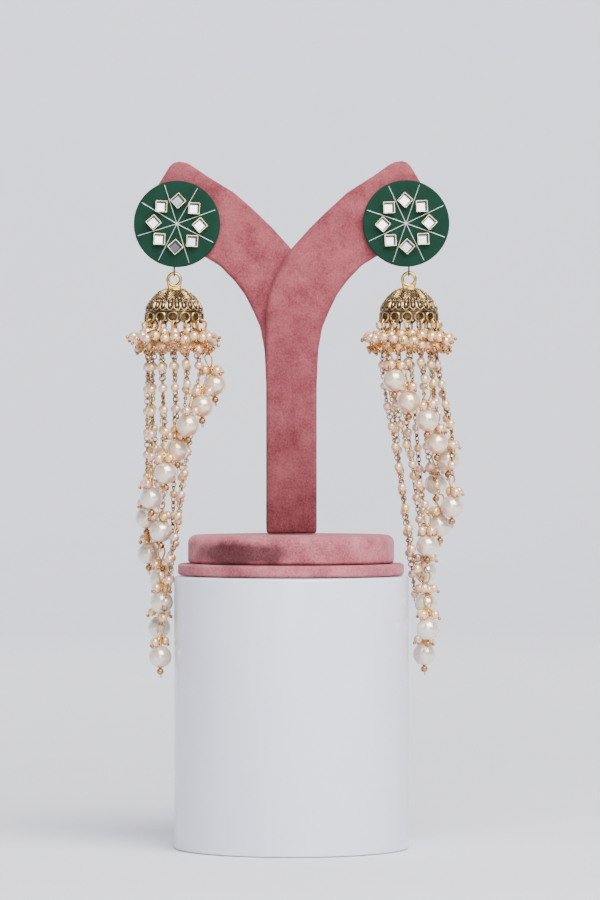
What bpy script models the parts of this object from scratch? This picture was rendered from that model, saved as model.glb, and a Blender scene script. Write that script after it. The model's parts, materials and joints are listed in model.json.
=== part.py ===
"""A pair of bell tassel earrings on a velvet stand with a round plinth. Metres, +Z up, front at -Y."""

import math

import bmesh
import bpy
from mathutils import Matrix, Vector

# Clearances
SEAT_GAP = 0.0003
WIRE_GAP = 0.00015

# Plinth and the two tiers of the stand's foot
PLINTH_RADIUS = 0.041
PLINTH_HEIGHT = 0.095
PLINTH_EDGE = 0.0012
LOWER_TIER_RADIUS = 0.0395
LOWER_TIER_HEIGHT = 0.0040
UPPER_TIER_RADIUS = 0.0360
UPPER_TIER_HEIGHT = 0.0097
TIER_EDGE = 0.0010
TIER_CROWN = 0.0028
TIER_SIDES = 36

# Two velvet bands, each a column that bends into one arm
BAND_THICKNESS = 0.0030
BAND_EDGE = 0.0006
COLUMN_WIDTH = 0.0178
ARM_RISE = 0.1308
ARM_REACH = {"left": 0.0563, "right": 0.0548}
ARM_CORNER = 0.0022
FOLD_ANGLE = math.radians(13)
FOLD_LEAN = math.radians(32)
FOLD_CLEARANCE = 0.0006
BAND_STEP = 0.008
BEVEL_LIMIT = math.radians(50)

# Outline of a band, as shares: column of half its width, arm of the reach beyond it, rise of the arm's rise
BAND_EDGES = {
    "inner": (
        {"column": -1.00, "arm": 0.000, "rise": 0.000},
        {"column": -1.00, "arm": 0.000, "rise": 0.510},
        {"column": -1.01, "arm": 0.000, "rise": 0.585},
        {"column": -0.87, "arm": 0.000, "rise": 0.637},
        {"column": -0.63, "arm": 0.000, "rise": 0.687},
        {"column": -0.06, "arm": 0.000, "rise": 0.758},
        {"column": 0.72, "arm": 0.000, "rise": 0.817},
        {"column": 1.00, "arm": 0.084, "rise": 0.865},
        {"column": 1.00, "arm": 0.234, "rise": 0.913},
        {"column": 1.00, "arm": 0.428, "rise": 0.956},
    ),
    "tip": (
        {"column": 1.00, "arm": 0.596, "rise": 0.998},
        {"column": 1.00, "arm": 0.702, "rise": 1.000},
        {"column": 1.00, "arm": 1.000, "rise": 0.823},
    ),
    "outer": (
        {"column": 1.00, "arm": 0.449, "rise": 0.740},
        {"column": 1.00, "arm": 0.340, "rise": 0.716},
        {"column": 1.00, "arm": 0.230, "rise": 0.675},
        {"column": 1.00, "arm": 0.154, "rise": 0.638},
        {"column": 1.00, "arm": 0.093, "rise": 0.594},
        {"column": 1.00, "arm": 0.042, "rise": 0.551},
        {"column": 1.00, "arm": 0.013, "rise": 0.493},
        {"column": 1.00, "arm": 0.000, "rise": 0.394},
        {"column": 1.00, "arm": 0.000, "rise": 0.000},
    ),
}

# Ear disc, its mirror stones in box settings, its post and clutch
EARRING_SPREAD = 0.0400
DISC_RADIUS = 0.0151
DISC_THICKNESS = 0.0020
DISC_EDGE = 0.0004
DISC_SHARE_OF_RISE = 0.828
DISC_SIDES = 36
STONE_COUNT = 8
STONE_CIRCLE = 0.0081
STONE_TURN = {"left": math.radians(-3.5), "right": math.radians(2.5)}
SETTING_WIDTH = 0.0041
SETTING_HEIGHT = 0.0016
SETTING_RIM = 0.00035
SETTING_CORNER = 0.0003
STONE_DEPTH = 0.0008
STONE_TABLE_INSET = 0.0004
STONE_TABLE_RISE = 0.00025
POST_RADIUS = 0.00045
CLUTCH_RADIUS = 0.0024
CLUTCH_LENGTH = 0.0025
POST_END = 0.0015

# Wire loop behind the disc and the ring on top of the bell
LOOP_RADIUS = 0.00125
LOOP_WIRE = 0.00035
LOOP_PAD_WIDTH = 0.0022
LOOP_PAD_HEIGHT = 0.0036
DROP_SPREAD = 0.0410
RING_RADIUS = 0.0022
RING_WIRE = 0.00055

# Bell: radii and heights below its crown, a wall, and holes round its skirt
BELL_RADIUS = 0.01015
BELL_HEIGHT = 0.0120
BELL_WALL = 0.0007
BELL_SIDES = 28
NECK_RADIUS = 0.0015
NECK_HEIGHT = 0.0009
CROWN_THICKNESS = 0.0011
SCALLOP = 0.0003
HOLE_COUNT = 14
HOLE_RADIUS = 0.00135
HOLE_LIP = 0.0007
HOLE_SIDES = 8
HOLE_TURN = {"left": math.radians(14.3), "right": math.radians(7.9)}
BELL_SECTIONS = (
    {"radius": 1.000, "depth": 1.000, "wall": 1.0},
    {"radius": 0.985, "depth": 0.690, "wall": 1.0},
    {"radius": 1.010, "depth": 0.655, "wall": 1.0},
    {"radius": 0.895, "depth": 0.400, "wall": 1.0},
    {"radius": 0.660, "depth": 0.170, "wall": 1.2},
    {"radius": 0.390, "depth": 0.000, "wall": 1.5},
)

# Ruff of small pearls round the strands
RUFF_RADIUS = 0.0165
RUFF_HEIGHT = 0.0076
RUFF_DROP = 0.0211
RUFF_LOBES = 14
RUFF_LOBE_DEPTH = 0.0005

# Section of the ruff, as shares: across of half its width, up of its height, lobed where its rim waves
RUFF_SECTION = (
    {"across": -1.00, "up": -0.30, "lobed": 0},
    {"across": -1.00, "up": 0.30, "lobed": 0},
    {"across": -0.40, "up": 0.50, "lobed": 0},
    {"across": 0.50, "up": 0.50, "lobed": 1},
    {"across": 1.00, "up": 0.26, "lobed": 1},
    {"across": 0.78, "up": 0.00, "lobed": 1},
    {"across": 1.00, "up": -0.26, "lobed": 1},
    {"across": 0.50, "up": -0.50, "lobed": 1},
    {"across": -0.40, "up": -0.50, "lobed": 0},
)

# Strand: jump ring, chain with small pearls, cluster, big pearl, ball and wire end
JUMP_RADIUS = 0.0018
JUMP_WIRE = 0.00035
CHAIN_RADIUS = 0.0009
CHAIN_STEP = 0.024
SHORT_LEAN = 0.15
CLUSTER_RADIUS = 0.0026
CLUSTER_TOP = 0.0092
CLUSTER_MIDDLE = 0.0066
PEARL_RADIUS = 0.0040
PEARL_ROWS = (0.69, 0, -0.69)
PEARL_FOOT = 0.98
BALL_RADIUS = 0.00125
BALL_SEAT = 0.6
WIRE_SHARE = 0.3
WIRE_END = 0.0020
BEAD_SIDES = 10
WIRE_SIDES = 6
JUMP_WIRE_SIDES = 5
RING_SEGMENTS = 12

# Route of each strand below its bell: its hole, then points as outward, back and drop from the swing axis.
# The last point is the big pearl's centre. Inner strands lean out past the foot of the stand.
STRAND_ROUTES = {
    "left": (
        (1, (-0.0143, 0.0005, 0.0391)),
        (2, (-0.0099, -0.0060, 0.0465)),
        (3, (-0.0051, -0.0112, 0.0533)),
        (4, (-0.0012, -0.0053, 0.0619)),
        (5, (0.0026, -0.0115, 0.0698)),
        (6, (0.0078, -0.0063, 0.0786)),
        (8, (0.0098, 0.0058, 0.0855)),
        (7, (0.0047, 0.0005, 0.0902)),
        (9, (0.0093, 0.0132, 0.0983)),
        (10, (0.0048, 0.0073, 0.1070)),
        (12, (-0.0010, 0.0035, 0.0900), (0.0044, 0.0003, 0.1151)),
        (11, (0.0015, 0.0122, 0.1070), (0.0055, 0.0102, 0.1242)),
        (14, (0.0024, -0.0052, 0.1110), (0.0034, -0.0052, 0.1195), (0.0048, -0.0028, 0.1340)),
    ),
    "right": (
        (3, (-0.0053, -0.0120, 0.0376)),
        (4, (-0.0002, -0.0070, 0.0451)),
        (5, (0.0061, -0.0100, 0.0515)),
        (6, (0.0097, -0.0040, 0.0594)),
        (8, (0.0138, 0.0024, 0.0652)),
        (9, (0.0097, 0.0088, 0.0738)),
        (7, (0.0146, -0.0026, 0.0560), (0.0149, -0.0030, 0.0816)),
        (10, (0.0065, 0.0040, 0.0620), (0.0109, 0.0028, 0.0884)),
        (2, (-0.0050, -0.0022, 0.0460), (0.0064, -0.0026, 0.0951)),
        (11, (0.0060, 0.0110, 0.1047)),
        (12, (0.0061, 0.0032, 0.1157)),
        (1, (0.0010, -0.0030, 0.0950), (0.0065, -0.0040, 0.1242)),
        (13, (0.0014, 0.0083, 0.1060), (0.0056, 0.0086, 0.1335)),
    ),
}

# Heights that follow
TIER_BASE = PLINTH_HEIGHT + SEAT_GAP
UPPER_TIER_BASE = TIER_BASE + LOWER_TIER_HEIGHT + SEAT_GAP
COLUMN_BASE = UPPER_TIER_BASE + UPPER_TIER_HEIGHT + SEAT_GAP
DISC_HEIGHT = COLUMN_BASE + DISC_SHARE_OF_RISE * ARM_RISE
DISC_BOTTOM = DISC_HEIGHT - math.sqrt(DISC_RADIUS**2 - (DROP_SPREAD - EARRING_SPREAD) ** 2)
LOOP_HEIGHT = DISC_BOTTOM - SEAT_GAP - LOOP_WIRE - LOOP_RADIUS
SWING_HEIGHT = LOOP_HEIGHT - LOOP_RADIUS + LOOP_WIRE + WIRE_GAP + RING_WIRE
CROWN_DROP = 2 * RING_RADIUS + RING_WIRE / 2 + NECK_HEIGHT
HOLE_CIRCLE = BELL_RADIUS - BELL_WALL / 2
HOLE_DROP = CROWN_DROP + BELL_HEIGHT - HOLE_LIP - HOLE_RADIUS
JUMP_DROP = HOLE_DROP + HOLE_RADIUS - WIRE_GAP - JUMP_WIRE + JUMP_RADIUS
RUFF_INNER = HOLE_CIRCLE + CHAIN_RADIUS + SEAT_GAP

SIDES = {"left": -1, "right": 1}
BAND_FRONT = {"left": SEAT_GAP / 2, "right": -SEAT_GAP / 2 - BAND_THICKNESS}


def make_material(name, colour, roughness, metallic):
    material = bpy.data.materials.new(name)
    material.use_nodes = True
    shader = material.node_tree.nodes["Principled BSDF"]
    shader.inputs["Base Color"].default_value = (*colour, 1.0)
    shader.inputs["Roughness"].default_value = roughness
    shader.inputs["Metallic"].default_value = metallic
    material.diffuse_color = (*colour, 1.0)
    return material


def add_object(name, mesh, material, location=(0, 0, 0), parent=None, smooth=35):
    if not mesh.materials:
        mesh.materials.append(material)
    mesh.shade_smooth()
    mesh.set_sharp_from_angle(angle=math.radians(smooth))
    made = bpy.data.objects.new(name, mesh)
    made.location = location
    made.parent = parent
    bpy.context.scene.collection.objects.link(made)
    return made


def finish_mesh(name, shape):
    bmesh.ops.recalc_face_normals(shape, faces=shape.faces)
    mesh = bpy.data.meshes.new(name)
    shape.to_mesh(mesh)
    shape.free()
    return mesh


def join_rings(shape, rings, closed=False):
    """Quads between neighbouring rings of vertices, with flat end caps unless it closes on itself."""
    pairs = list(zip(rings, rings[1:] + rings[:1])) if closed else list(zip(rings, rings[1:]))
    for low, high in pairs:
        count = len(low)
        for i in range(count):
            j = (i + 1) % count
            shape.faces.new((low[i], low[j], high[j], high[i]))
    if not closed:
        shape.faces.new(list(reversed(rings[0])))
        shape.faces.new(rings[-1])


def turned_mesh(name, rows, sides, lobes=0):
    """A solid turned about Z from rows of radius, height and wave, the rise and fall round the rim."""
    shape = bmesh.new()
    rings = []
    for radius, height, wave in rows:
        ring = []
        for i in range(sides):
            angle = math.tau * i / sides
            level = height - wave * math.cos(lobes * angle)
            ring.append(shape.verts.new((radius * math.cos(angle), radius * math.sin(angle), level)))
        rings.append(ring)
    join_rings(shape, rings)
    return finish_mesh(name, shape)


def ring_mesh(name, radius, wire, segments, sides):
    """A wire ring round Y, in the XZ plane, with flats at its top and bottom at the named radius."""
    corner = radius / math.cos(math.pi / segments)
    shape = bmesh.new()
    rings = []
    for i in range(segments):
        turn = math.tau * (i + 0.5) / segments
        outward = Vector((math.sin(turn), 0, math.cos(turn)))
        ring = []
        for j in range(sides):
            angle = math.tau * j / sides
            aside = Vector((0, wire * math.sin(angle), 0))
            ring.append(shape.verts.new(outward * (corner + wire * math.cos(angle)) + aside))
        rings.append(ring)
    join_rings(shape, rings, closed=True)
    return finish_mesh(name, shape)


def swept_mesh(name, stations, sides):
    """A round solid along stations of centre and radius that run downward."""
    shape = bmesh.new()
    rings = []
    centres = [centre for centre, _ in stations]
    for i, (centre, radius) in enumerate(stations):
        before = centres[max(i - 1, 0)]
        after = centres[min(i + 1, len(centres) - 1)]
        along = (after - before).normalized()
        across = Vector((0, 1, 0)).cross(along).normalized()
        other = along.cross(across)
        ring = []
        for j in range(sides):
            angle = math.tau * j / sides
            aside = math.cos(angle) * across + math.sin(angle) * other
            ring.append(shape.verts.new(centre + radius * aside))
        rings.append(ring)
    join_rings(shape, rings)
    return finish_mesh(name, shape)


def add_boolean(target, name, mesh, operation, location, parent=None):
    """Joins a helper mesh to the target, or cuts it away."""
    helper = bpy.data.objects.new(name, mesh)
    helper.location = location
    helper.parent = parent
    helper.hide_render = True
    helper.display_type = "WIRE"
    bpy.context.scene.collection.objects.link(helper)
    modifier = target.modifiers.new(name, "BOOLEAN")
    modifier.operation = operation
    modifier.solver = "EXACT"
    modifier.object = helper
    return helper


def smooth_curve(points, spacing):
    """Points along a curve that passes through all the given ones, about one spacing apart."""
    ends = [2 * points[0] - points[1]] + list(points) + [2 * points[-1] - points[-2]]
    made = [points[0]]
    for before, start, end, after in zip(ends, ends[1:], ends[2:], ends[3:]):
        steps = max(1, round((end - start).length / spacing))
        for k in range(1, steps + 1):
            t = k / steps
            made.append(
                0.5 * (2 * start + t * (end - before)
                       + t**2 * (2 * before - 5 * start + 4 * end - after)
                       + t**3 * (3 * start - 3 * end + after - before))
            )
    return made


def rounded_corners(points, radius):
    """Each inner point of an open run gives way to a short three-point arc."""
    made = [points[0]]
    for before, corner, after in zip(points, points[1:], points[2:]):
        start = corner + (before - corner).normalized() * radius
        end = corner + (after - corner).normalized() * radius
        made += [start, (start + end + 2 * corner) / 4, end]
    return made + [points[-1]]


def make_plinth():
    rows = (
        (PLINTH_RADIUS, 0, 0),
        (PLINTH_RADIUS, PLINTH_HEIGHT - PLINTH_EDGE, 0),
        (PLINTH_RADIUS - PLINTH_EDGE, PLINTH_HEIGHT, 0),
    )
    white = make_material("plinth_white", (0.67, 0.68, 0.74), 0.25, 0)
    add_object("plinth", turned_mesh("plinth", rows, TIER_SIDES), white)


def make_tiers():
    velvet = make_material("foot_velvet", (0.50, 0.16, 0.20), 0.95, 0)
    lower = (
        (LOWER_TIER_RADIUS - TIER_EDGE, 0, 0),
        (LOWER_TIER_RADIUS, TIER_EDGE, 0),
        (LOWER_TIER_RADIUS, LOWER_TIER_HEIGHT - TIER_EDGE, 0),
        (LOWER_TIER_RADIUS - TIER_EDGE, LOWER_TIER_HEIGHT, 0),
    )
    mesh = turned_mesh("stand_base_lower", lower, TIER_SIDES)
    add_object("stand_base_lower", mesh, velvet, (0, 0, TIER_BASE))
    bend = TIER_CROWN * (1 - math.sqrt(0.5))
    upper = (
        (UPPER_TIER_RADIUS - TIER_EDGE, 0, 0),
        (UPPER_TIER_RADIUS, TIER_EDGE, 0),
        (UPPER_TIER_RADIUS, UPPER_TIER_HEIGHT - TIER_CROWN, 0),
        (UPPER_TIER_RADIUS - bend, UPPER_TIER_HEIGHT - bend, 0),
        (UPPER_TIER_RADIUS - TIER_CROWN, UPPER_TIER_HEIGHT, 0),
    )
    mesh = turned_mesh("stand_base_upper", upper, TIER_SIDES)
    add_object("stand_base_upper", mesh, velvet, (0, 0, UPPER_TIER_BASE))


def band_outline(side):
    """Points of a band's outline in X and Z, for an arm that reaches to +X."""
    half = COLUMN_WIDTH / 2
    reach = ARM_REACH[side] - half

    def place(row):
        return Vector((row["column"] * half + row["arm"] * reach, 0, row["rise"] * ARM_RISE))

    inner, tip, outer = ([place(row) for row in BAND_EDGES[edge]] for edge in ("inner", "tip", "outer"))
    upper = [inner[0]] + smooth_curve(inner[1:], BAND_STEP)
    lower = smooth_curve(outer[:-1], BAND_STEP) + [outer[-1]]
    end = rounded_corners([upper[-1]] + tip + [lower[0]], ARM_CORNER)
    return upper[:-1] + end + lower[1:]


def make_band(name, side):
    """The outline given its thickness, then its end folded back about a leaning line just past the clutch."""
    shape = bmesh.new()
    face = shape.faces.new([shape.verts.new(point) for point in band_outline(side)])
    made = bmesh.ops.extrude_face_region(shape, geom=[face])["geom"]
    moved = [item for item in made if isinstance(item, bmesh.types.BMVert)]
    bmesh.ops.translate(shape, verts=moved, vec=(0, BAND_THICKNESS, 0))
    hinge = Vector((EARRING_SPREAD + CLUTCH_RADIUS + FOLD_CLEARANCE, 0, DISC_HEIGHT - COLUMN_BASE))
    along = Vector((math.sin(FOLD_LEAN), 0, -math.cos(FOLD_LEAN)))
    outward = Vector((math.cos(FOLD_LEAN), 0, math.sin(FOLD_LEAN)))
    everything = shape.verts[:] + shape.edges[:] + shape.faces[:]
    bmesh.ops.bisect_plane(shape, geom=everything, dist=1e-6, plane_co=hinge, plane_no=outward)
    beyond = [vert for vert in shape.verts if (vert.co - hinge).dot(outward) > 1e-5]
    turn = Matrix.Rotation(FOLD_ANGLE, 3, -along)
    bmesh.ops.rotate(shape, verts=beyond, cent=hinge, matrix=turn)
    if side == "left":
        bmesh.ops.scale(shape, vec=(-1, 1, 1), verts=shape.verts)
    velvet = make_material(name + "_velvet", (0.50, 0.16, 0.20), 0.95, 0)
    band = add_object(name, finish_mesh(name, shape), velvet, (0, BAND_FRONT[side], COLUMN_BASE))
    bevel = band.modifiers.new("soft_edge", "BEVEL")
    bevel.width = BAND_EDGE
    bevel.segments = 1
    bevel.limit_method = "ANGLE"
    bevel.angle_limit = BEVEL_LIMIT
    hole_radius = POST_RADIUS + SEAT_GAP
    hole_rows = ((hole_radius, -BAND_THICKNESS, 0), (hole_radius, 2 * BAND_THICKNESS, 0))
    cutter = turned_mesh(name + "_post_hole", hole_rows, BEAD_SIDES)
    spot = (SIDES[side] * EARRING_SPREAD, 0, DISC_HEIGHT - COLUMN_BASE)
    helper = add_boolean(band, name + "_post_hole", cutter, "DIFFERENCE", spot, band)
    helper.rotation_euler = (-math.pi / 2, 0, 0)


def disc_back(side):
    return BAND_FRONT[side] - SEAT_GAP


def make_disc(side):
    green = make_material("disc_green_" + side, (0.015, 0.09, 0.06), 0.8, 0)
    rows = (
        (DISC_RADIUS - DISC_EDGE, 0, 0),
        (DISC_RADIUS, DISC_EDGE, 0),
        (DISC_RADIUS, DISC_THICKNESS - DISC_EDGE, 0),
        (DISC_RADIUS - DISC_EDGE, DISC_THICKNESS, 0),
    )
    place = (SIDES[side] * EARRING_SPREAD, disc_back(side), DISC_HEIGHT)
    disc = add_object("ear_disc_" + side, turned_mesh("ear_disc", rows, DISC_SIDES), green, place)
    disc.rotation_euler = (math.pi / 2, 0, 0)


def setting_mesh():
    """A square box setting with clipped corners round a mirror stone: eight facets about a square table."""
    def corner_ring(shape, half, clip, height):
        points = []
        for x, y in ((1, 1), (-1, 1), (-1, -1), (1, -1)):
            pair = [(x * half, y * (half - clip)), (x * (half - clip), y * half)]
            points += pair if x * y > 0 else pair[::-1]
        return [shape.verts.new((px, py, height)) for px, py in points]

    half = SETTING_WIDTH / 2
    inner = half - SETTING_RIM
    table = inner - STONE_TABLE_INSET
    floor = SETTING_HEIGHT - STONE_DEPTH
    shape = bmesh.new()
    rings = [
        corner_ring(shape, half, SETTING_CORNER, 0),
        corner_ring(shape, half, SETTING_CORNER, SETTING_HEIGHT),
        corner_ring(shape, inner, SETTING_CORNER, SETTING_HEIGHT),
        corner_ring(shape, inner, SETTING_CORNER, floor),
        corner_ring(shape, table, 2 * SETTING_CORNER, floor + STONE_TABLE_RISE),
    ]
    join_rings(shape, rings)
    return finish_mesh("setting", shape)


def make_settings(side, mesh):
    gold = make_material("setting_gold_" + side, (0.72, 0.55, 0.30), 0.3, 1)
    front = disc_back(side) - DISC_THICKNESS - SEAT_GAP
    for number in range(1, STONE_COUNT + 1):
        angle = STONE_TURN[side] + math.tau * (number - 1) / STONE_COUNT
        place = (
            SIDES[side] * EARRING_SPREAD + STONE_CIRCLE * math.cos(angle),
            front,
            DISC_HEIGHT + STONE_CIRCLE * math.sin(angle),
        )
        stone = add_object(f"setting_{side}_{number}", mesh, gold, place)
        stone.rotation_euler = (math.pi / 2, math.pi / 4 - angle, 0)


def make_post(side):
    steel = make_material("post_steel_" + side, (0.6, 0.6, 0.6), 0.3, 1)
    start = SEAT_GAP / 2
    clutch = 2 * SEAT_GAP + BAND_THICKNESS
    rows = (
        (POST_RADIUS, start, 0),
        (POST_RADIUS, clutch, 0),
        (CLUTCH_RADIUS, clutch, 0),
        (CLUTCH_RADIUS, clutch + CLUTCH_LENGTH, 0),
        (POST_RADIUS, clutch + CLUTCH_LENGTH, 0),
        (POST_RADIUS, clutch + CLUTCH_LENGTH + POST_END, 0),
    )
    place = (SIDES[side] * EARRING_SPREAD, disc_back(side), DISC_HEIGHT)
    post = add_object("ear_post_" + side, turned_mesh("ear_post", rows, BEAD_SIDES), steel, place)
    post.rotation_euler = (-math.pi / 2, 0, 0)


def swing_axis(side):
    """Middle of the ring's top wire, just behind the disc."""
    return Vector((SIDES[side] * DROP_SPREAD, disc_back(side) + SEAT_GAP + LOOP_WIRE, SWING_HEIGHT))


def make_loop(side):
    """A wire loop seen edge on, with the flat pad that holds it to the back of the disc."""
    gold = make_material("loop_gold_" + side, (0.6, 0.42, 0.18), 0.35, 1)
    axis = swing_axis(side)
    mesh = ring_mesh("hanger_loop", LOOP_RADIUS, LOOP_WIRE, BEAD_SIDES, WIRE_SIDES)
    mesh.transform(Matrix.Rotation(math.pi / 2, 4, "Z"))
    loop = add_object("hanger_loop_" + side, mesh, gold, (axis.x, axis.y, LOOP_HEIGHT))
    shape = bmesh.new()
    bmesh.ops.create_cube(shape, size=1)
    bmesh.ops.scale(shape, vec=(LOOP_PAD_WIDTH, 2 * LOOP_WIRE, LOOP_PAD_HEIGHT), verts=shape.verts)
    pad = finish_mesh("hanger_pad", shape)
    middle = LOOP_RADIUS + LOOP_PAD_HEIGHT / 2 - LOOP_WIRE / 2
    add_boolean(loop, "hanger_pad_" + side, pad, "UNION", (0, 0, middle), loop)


def hole_angle(side, hole):
    """Turn of a skirt hole from the earring's inner side towards the front."""
    return HOLE_TURN[side] + math.tau * (hole - 1) / HOLE_COUNT


def hole_direction(side, hole):
    angle = hole_angle(side, hole)
    return Vector((-SIDES[side] * math.cos(angle), -math.sin(angle), 0))


def bell_mesh():
    """The bell's shell: inner wall down to the scalloped lip, then the outer wall up to the neck."""
    outer = [(row["radius"] * BELL_RADIUS, -row["depth"] * BELL_HEIGHT) for row in BELL_SECTIONS]
    inner = []
    for row in BELL_SECTIONS:
        if row["radius"] > 1:
            continue
        lowered = CROWN_THICKNESS * (1 - row["depth"]) * row["wall"]
        radius = row["radius"] * BELL_RADIUS - BELL_WALL * row["wall"]
        inner.append((radius, -row["depth"] * BELL_HEIGHT - lowered))
    rows = [(radius, height, 0) for radius, height in reversed(inner[1:])]
    rows += [(*inner[0], SCALLOP), (*outer[0], SCALLOP)]
    rows += [(radius, height, 0) for radius, height in outer[1:]]
    rows += [(NECK_RADIUS, 0, 0), (NECK_RADIUS, NECK_HEIGHT, 0)]
    return turned_mesh("bell", rows, BELL_SIDES, HOLE_COUNT)


def hole_cutters(side):
    """Round cutters through the skirt, one at each hole, in the bell's own frame."""
    shape = bmesh.new()
    reach = 3 * BELL_WALL
    for hole in range(1, HOLE_COUNT + 1):
        outward = hole_direction(side, hole)
        turn = Vector((0, 0, 1)).rotation_difference(outward).to_matrix().to_4x4()
        spot = outward * HOLE_CIRCLE + Vector((0, 0, CROWN_DROP - HOLE_DROP))
        bmesh.ops.create_cone(
            shape, cap_ends=True, segments=HOLE_SIDES, radius1=HOLE_RADIUS, radius2=HOLE_RADIUS,
            depth=reach, matrix=Matrix.Translation(spot) @ turn,
        )
    return finish_mesh("bell_holes_" + side, shape)


def make_bell(side, pivot):
    brass = make_material("bell_gold_" + side, (0.50, 0.33, 0.13), 0.4, 1)
    mesh = bell_mesh()
    first = hole_direction(side, 1)
    mesh.transform(Matrix.Rotation(math.atan2(first.y, first.x), 4, "Z"))
    bell = add_object("bell_" + side, mesh, brass, (0, 0, -CROWN_DROP), pivot)
    add_boolean(bell, "bell_holes_" + side, hole_cutters(side), "DIFFERENCE", (0, 0, 0), bell)
    ring = ring_mesh("bell_ring", RING_RADIUS, RING_WIRE, RING_SEGMENTS, WIRE_SIDES)
    add_boolean(bell, "bell_ring_" + side, ring, "UNION", (0, 0, CROWN_DROP - RING_RADIUS), bell)


def make_ruff(side, pivot):
    """Two rows of pearls as one lobed ring that the strands carry."""
    pearl = make_material("ruff_pearl_" + side, (0.85, 0.70, 0.62), 0.3, 0)
    shape = bmesh.new()
    middle = (RUFF_INNER + RUFF_RADIUS) / 2
    half = (RUFF_RADIUS - RUFF_INNER) / 2
    rings = []
    for i in range(2 * RUFF_LOBES):
        angle = math.tau * i / (2 * RUFF_LOBES)
        lobe = RUFF_LOBE_DEPTH if i % 2 else 0
        ring = []
        for row in RUFF_SECTION:
            radius = middle + row["across"] * half - row["lobed"] * lobe
            height = row["up"] * RUFF_HEIGHT
            ring.append(shape.verts.new((radius * math.cos(angle), radius * math.sin(angle), height)))
        rings.append(ring)
    join_rings(shape, rings, closed=True)
    add_object("ruff_" + side, finish_mesh("ruff", shape), pearl, (0, 0, -RUFF_DROP - RUFF_HEIGHT / 2), pivot)


def strand_stations(side, start, route):
    """Centres and radii from the jump ring down to the wire end below the big pearl."""
    *bends, end = [Vector((SIDES[side] * out, back, -drop)) for out, back, drop in route]
    below_ruff = Vector((start.x, start.y, -RUFF_DROP - RUFF_HEIGHT - CHAIN_RADIUS))
    top = end + Vector((0, 0, CLUSTER_TOP))
    if top.z > below_ruff.z - CHAIN_RADIUS:
        top = below_ruff + (end - below_ruff) * SHORT_LEAN
    centres = smooth_curve([below_ruff, *bends, top], CHAIN_STEP)
    stations = [(start, CHAIN_RADIUS)]
    stations += [(centre, CHAIN_RADIUS) for centre in centres]
    lean = (top - end).normalized()
    stations.append((end + lean * CLUSTER_MIDDLE, CLUSTER_RADIUS))
    for height in PEARL_ROWS:
        radius = PEARL_RADIUS * math.sqrt(1 - height**2)
        stations.append((end + Vector((0, 0, height * PEARL_RADIUS)), radius))
    foot = end - Vector((0, 0, PEARL_FOOT * PEARL_RADIUS))
    stations.append((foot, BALL_SEAT * BALL_RADIUS))
    stations.append((foot - Vector((0, 0, BALL_RADIUS)), BALL_RADIUS))
    stations.append((foot - Vector((0, 0, 2 * BALL_RADIUS + WIRE_END)), WIRE_SHARE * BALL_RADIUS))
    return stations


def make_strand(side, number, route, pivot):
    gold = make_material(f"strand_{side}_{number:02d}_gold", (0.80, 0.62, 0.48), 0.35, 0.6)
    hole, *points = route
    outward = hole_direction(side, hole)
    jump = outward * HOLE_CIRCLE - Vector((0, 0, JUMP_DROP))
    start = jump - Vector((0, 0, JUMP_RADIUS))
    name = f"strand_{side}_{number:02d}"
    mesh = swept_mesh(name, strand_stations(side, start, points), BEAD_SIDES)
    strand = add_object(name, mesh, gold, (0, 0, 0), pivot)
    link = ring_mesh(name + "_jump_ring", JUMP_RADIUS, JUMP_WIRE, BEAD_SIDES, JUMP_WIRE_SIDES)
    link.transform(Matrix.Rotation(math.atan2(outward.y, outward.x), 4, "Z"))
    add_boolean(strand, name + "_jump_ring", link, "UNION", jump, pivot)


def make_drop(side):
    """Everything that swings together at the ring: bell, ruff and strands."""
    pivot = bpy.data.objects.new("swing_" + side, None)
    pivot.location = swing_axis(side)
    bpy.context.scene.collection.objects.link(pivot)
    make_bell(side, pivot)
    make_ruff(side, pivot)
    for number, route in enumerate(STRAND_ROUTES[side], start=1):
        make_strand(side, number, route, pivot)


def main():
    for old in list(bpy.data.objects):
        bpy.data.objects.remove(old)
    make_plinth()
    make_tiers()
    make_band("stand_band_front", "right")
    make_band("stand_band_back", "left")
    stone = setting_mesh()
    for side in SIDES:
        make_disc(side)
        make_settings(side, stone)
        make_post(side)
        make_loop(side)
        make_drop(side)


main()
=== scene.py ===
import json
import math
import random

import bmesh
import bpy
import numpy as np
from mathutils import Matrix, Vector


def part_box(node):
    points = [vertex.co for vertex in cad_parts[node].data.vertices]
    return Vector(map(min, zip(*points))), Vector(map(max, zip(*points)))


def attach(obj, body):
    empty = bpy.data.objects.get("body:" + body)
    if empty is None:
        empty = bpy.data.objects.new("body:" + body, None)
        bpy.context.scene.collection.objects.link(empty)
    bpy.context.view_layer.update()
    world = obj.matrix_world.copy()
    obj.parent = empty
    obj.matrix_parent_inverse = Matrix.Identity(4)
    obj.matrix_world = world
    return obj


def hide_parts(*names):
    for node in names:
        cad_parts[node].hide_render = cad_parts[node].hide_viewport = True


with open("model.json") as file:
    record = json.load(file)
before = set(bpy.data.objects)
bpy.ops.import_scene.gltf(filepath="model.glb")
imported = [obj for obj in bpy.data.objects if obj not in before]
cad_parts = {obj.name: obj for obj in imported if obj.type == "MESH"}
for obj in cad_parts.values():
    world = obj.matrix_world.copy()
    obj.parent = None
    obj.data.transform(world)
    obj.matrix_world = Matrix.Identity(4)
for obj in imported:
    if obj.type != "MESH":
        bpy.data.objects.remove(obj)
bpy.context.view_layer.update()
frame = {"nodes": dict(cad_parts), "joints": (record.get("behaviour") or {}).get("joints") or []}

UP = Vector((0, 0, 1))
RIGHT = Vector((1, 0, 0))

# Camera, at the photograph's height and distance
CAMERA_PLACE = (0.003, -1.6, 0.1389)
CAMERA_LENS = 183
CAMERA_SENSOR = 36

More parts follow.
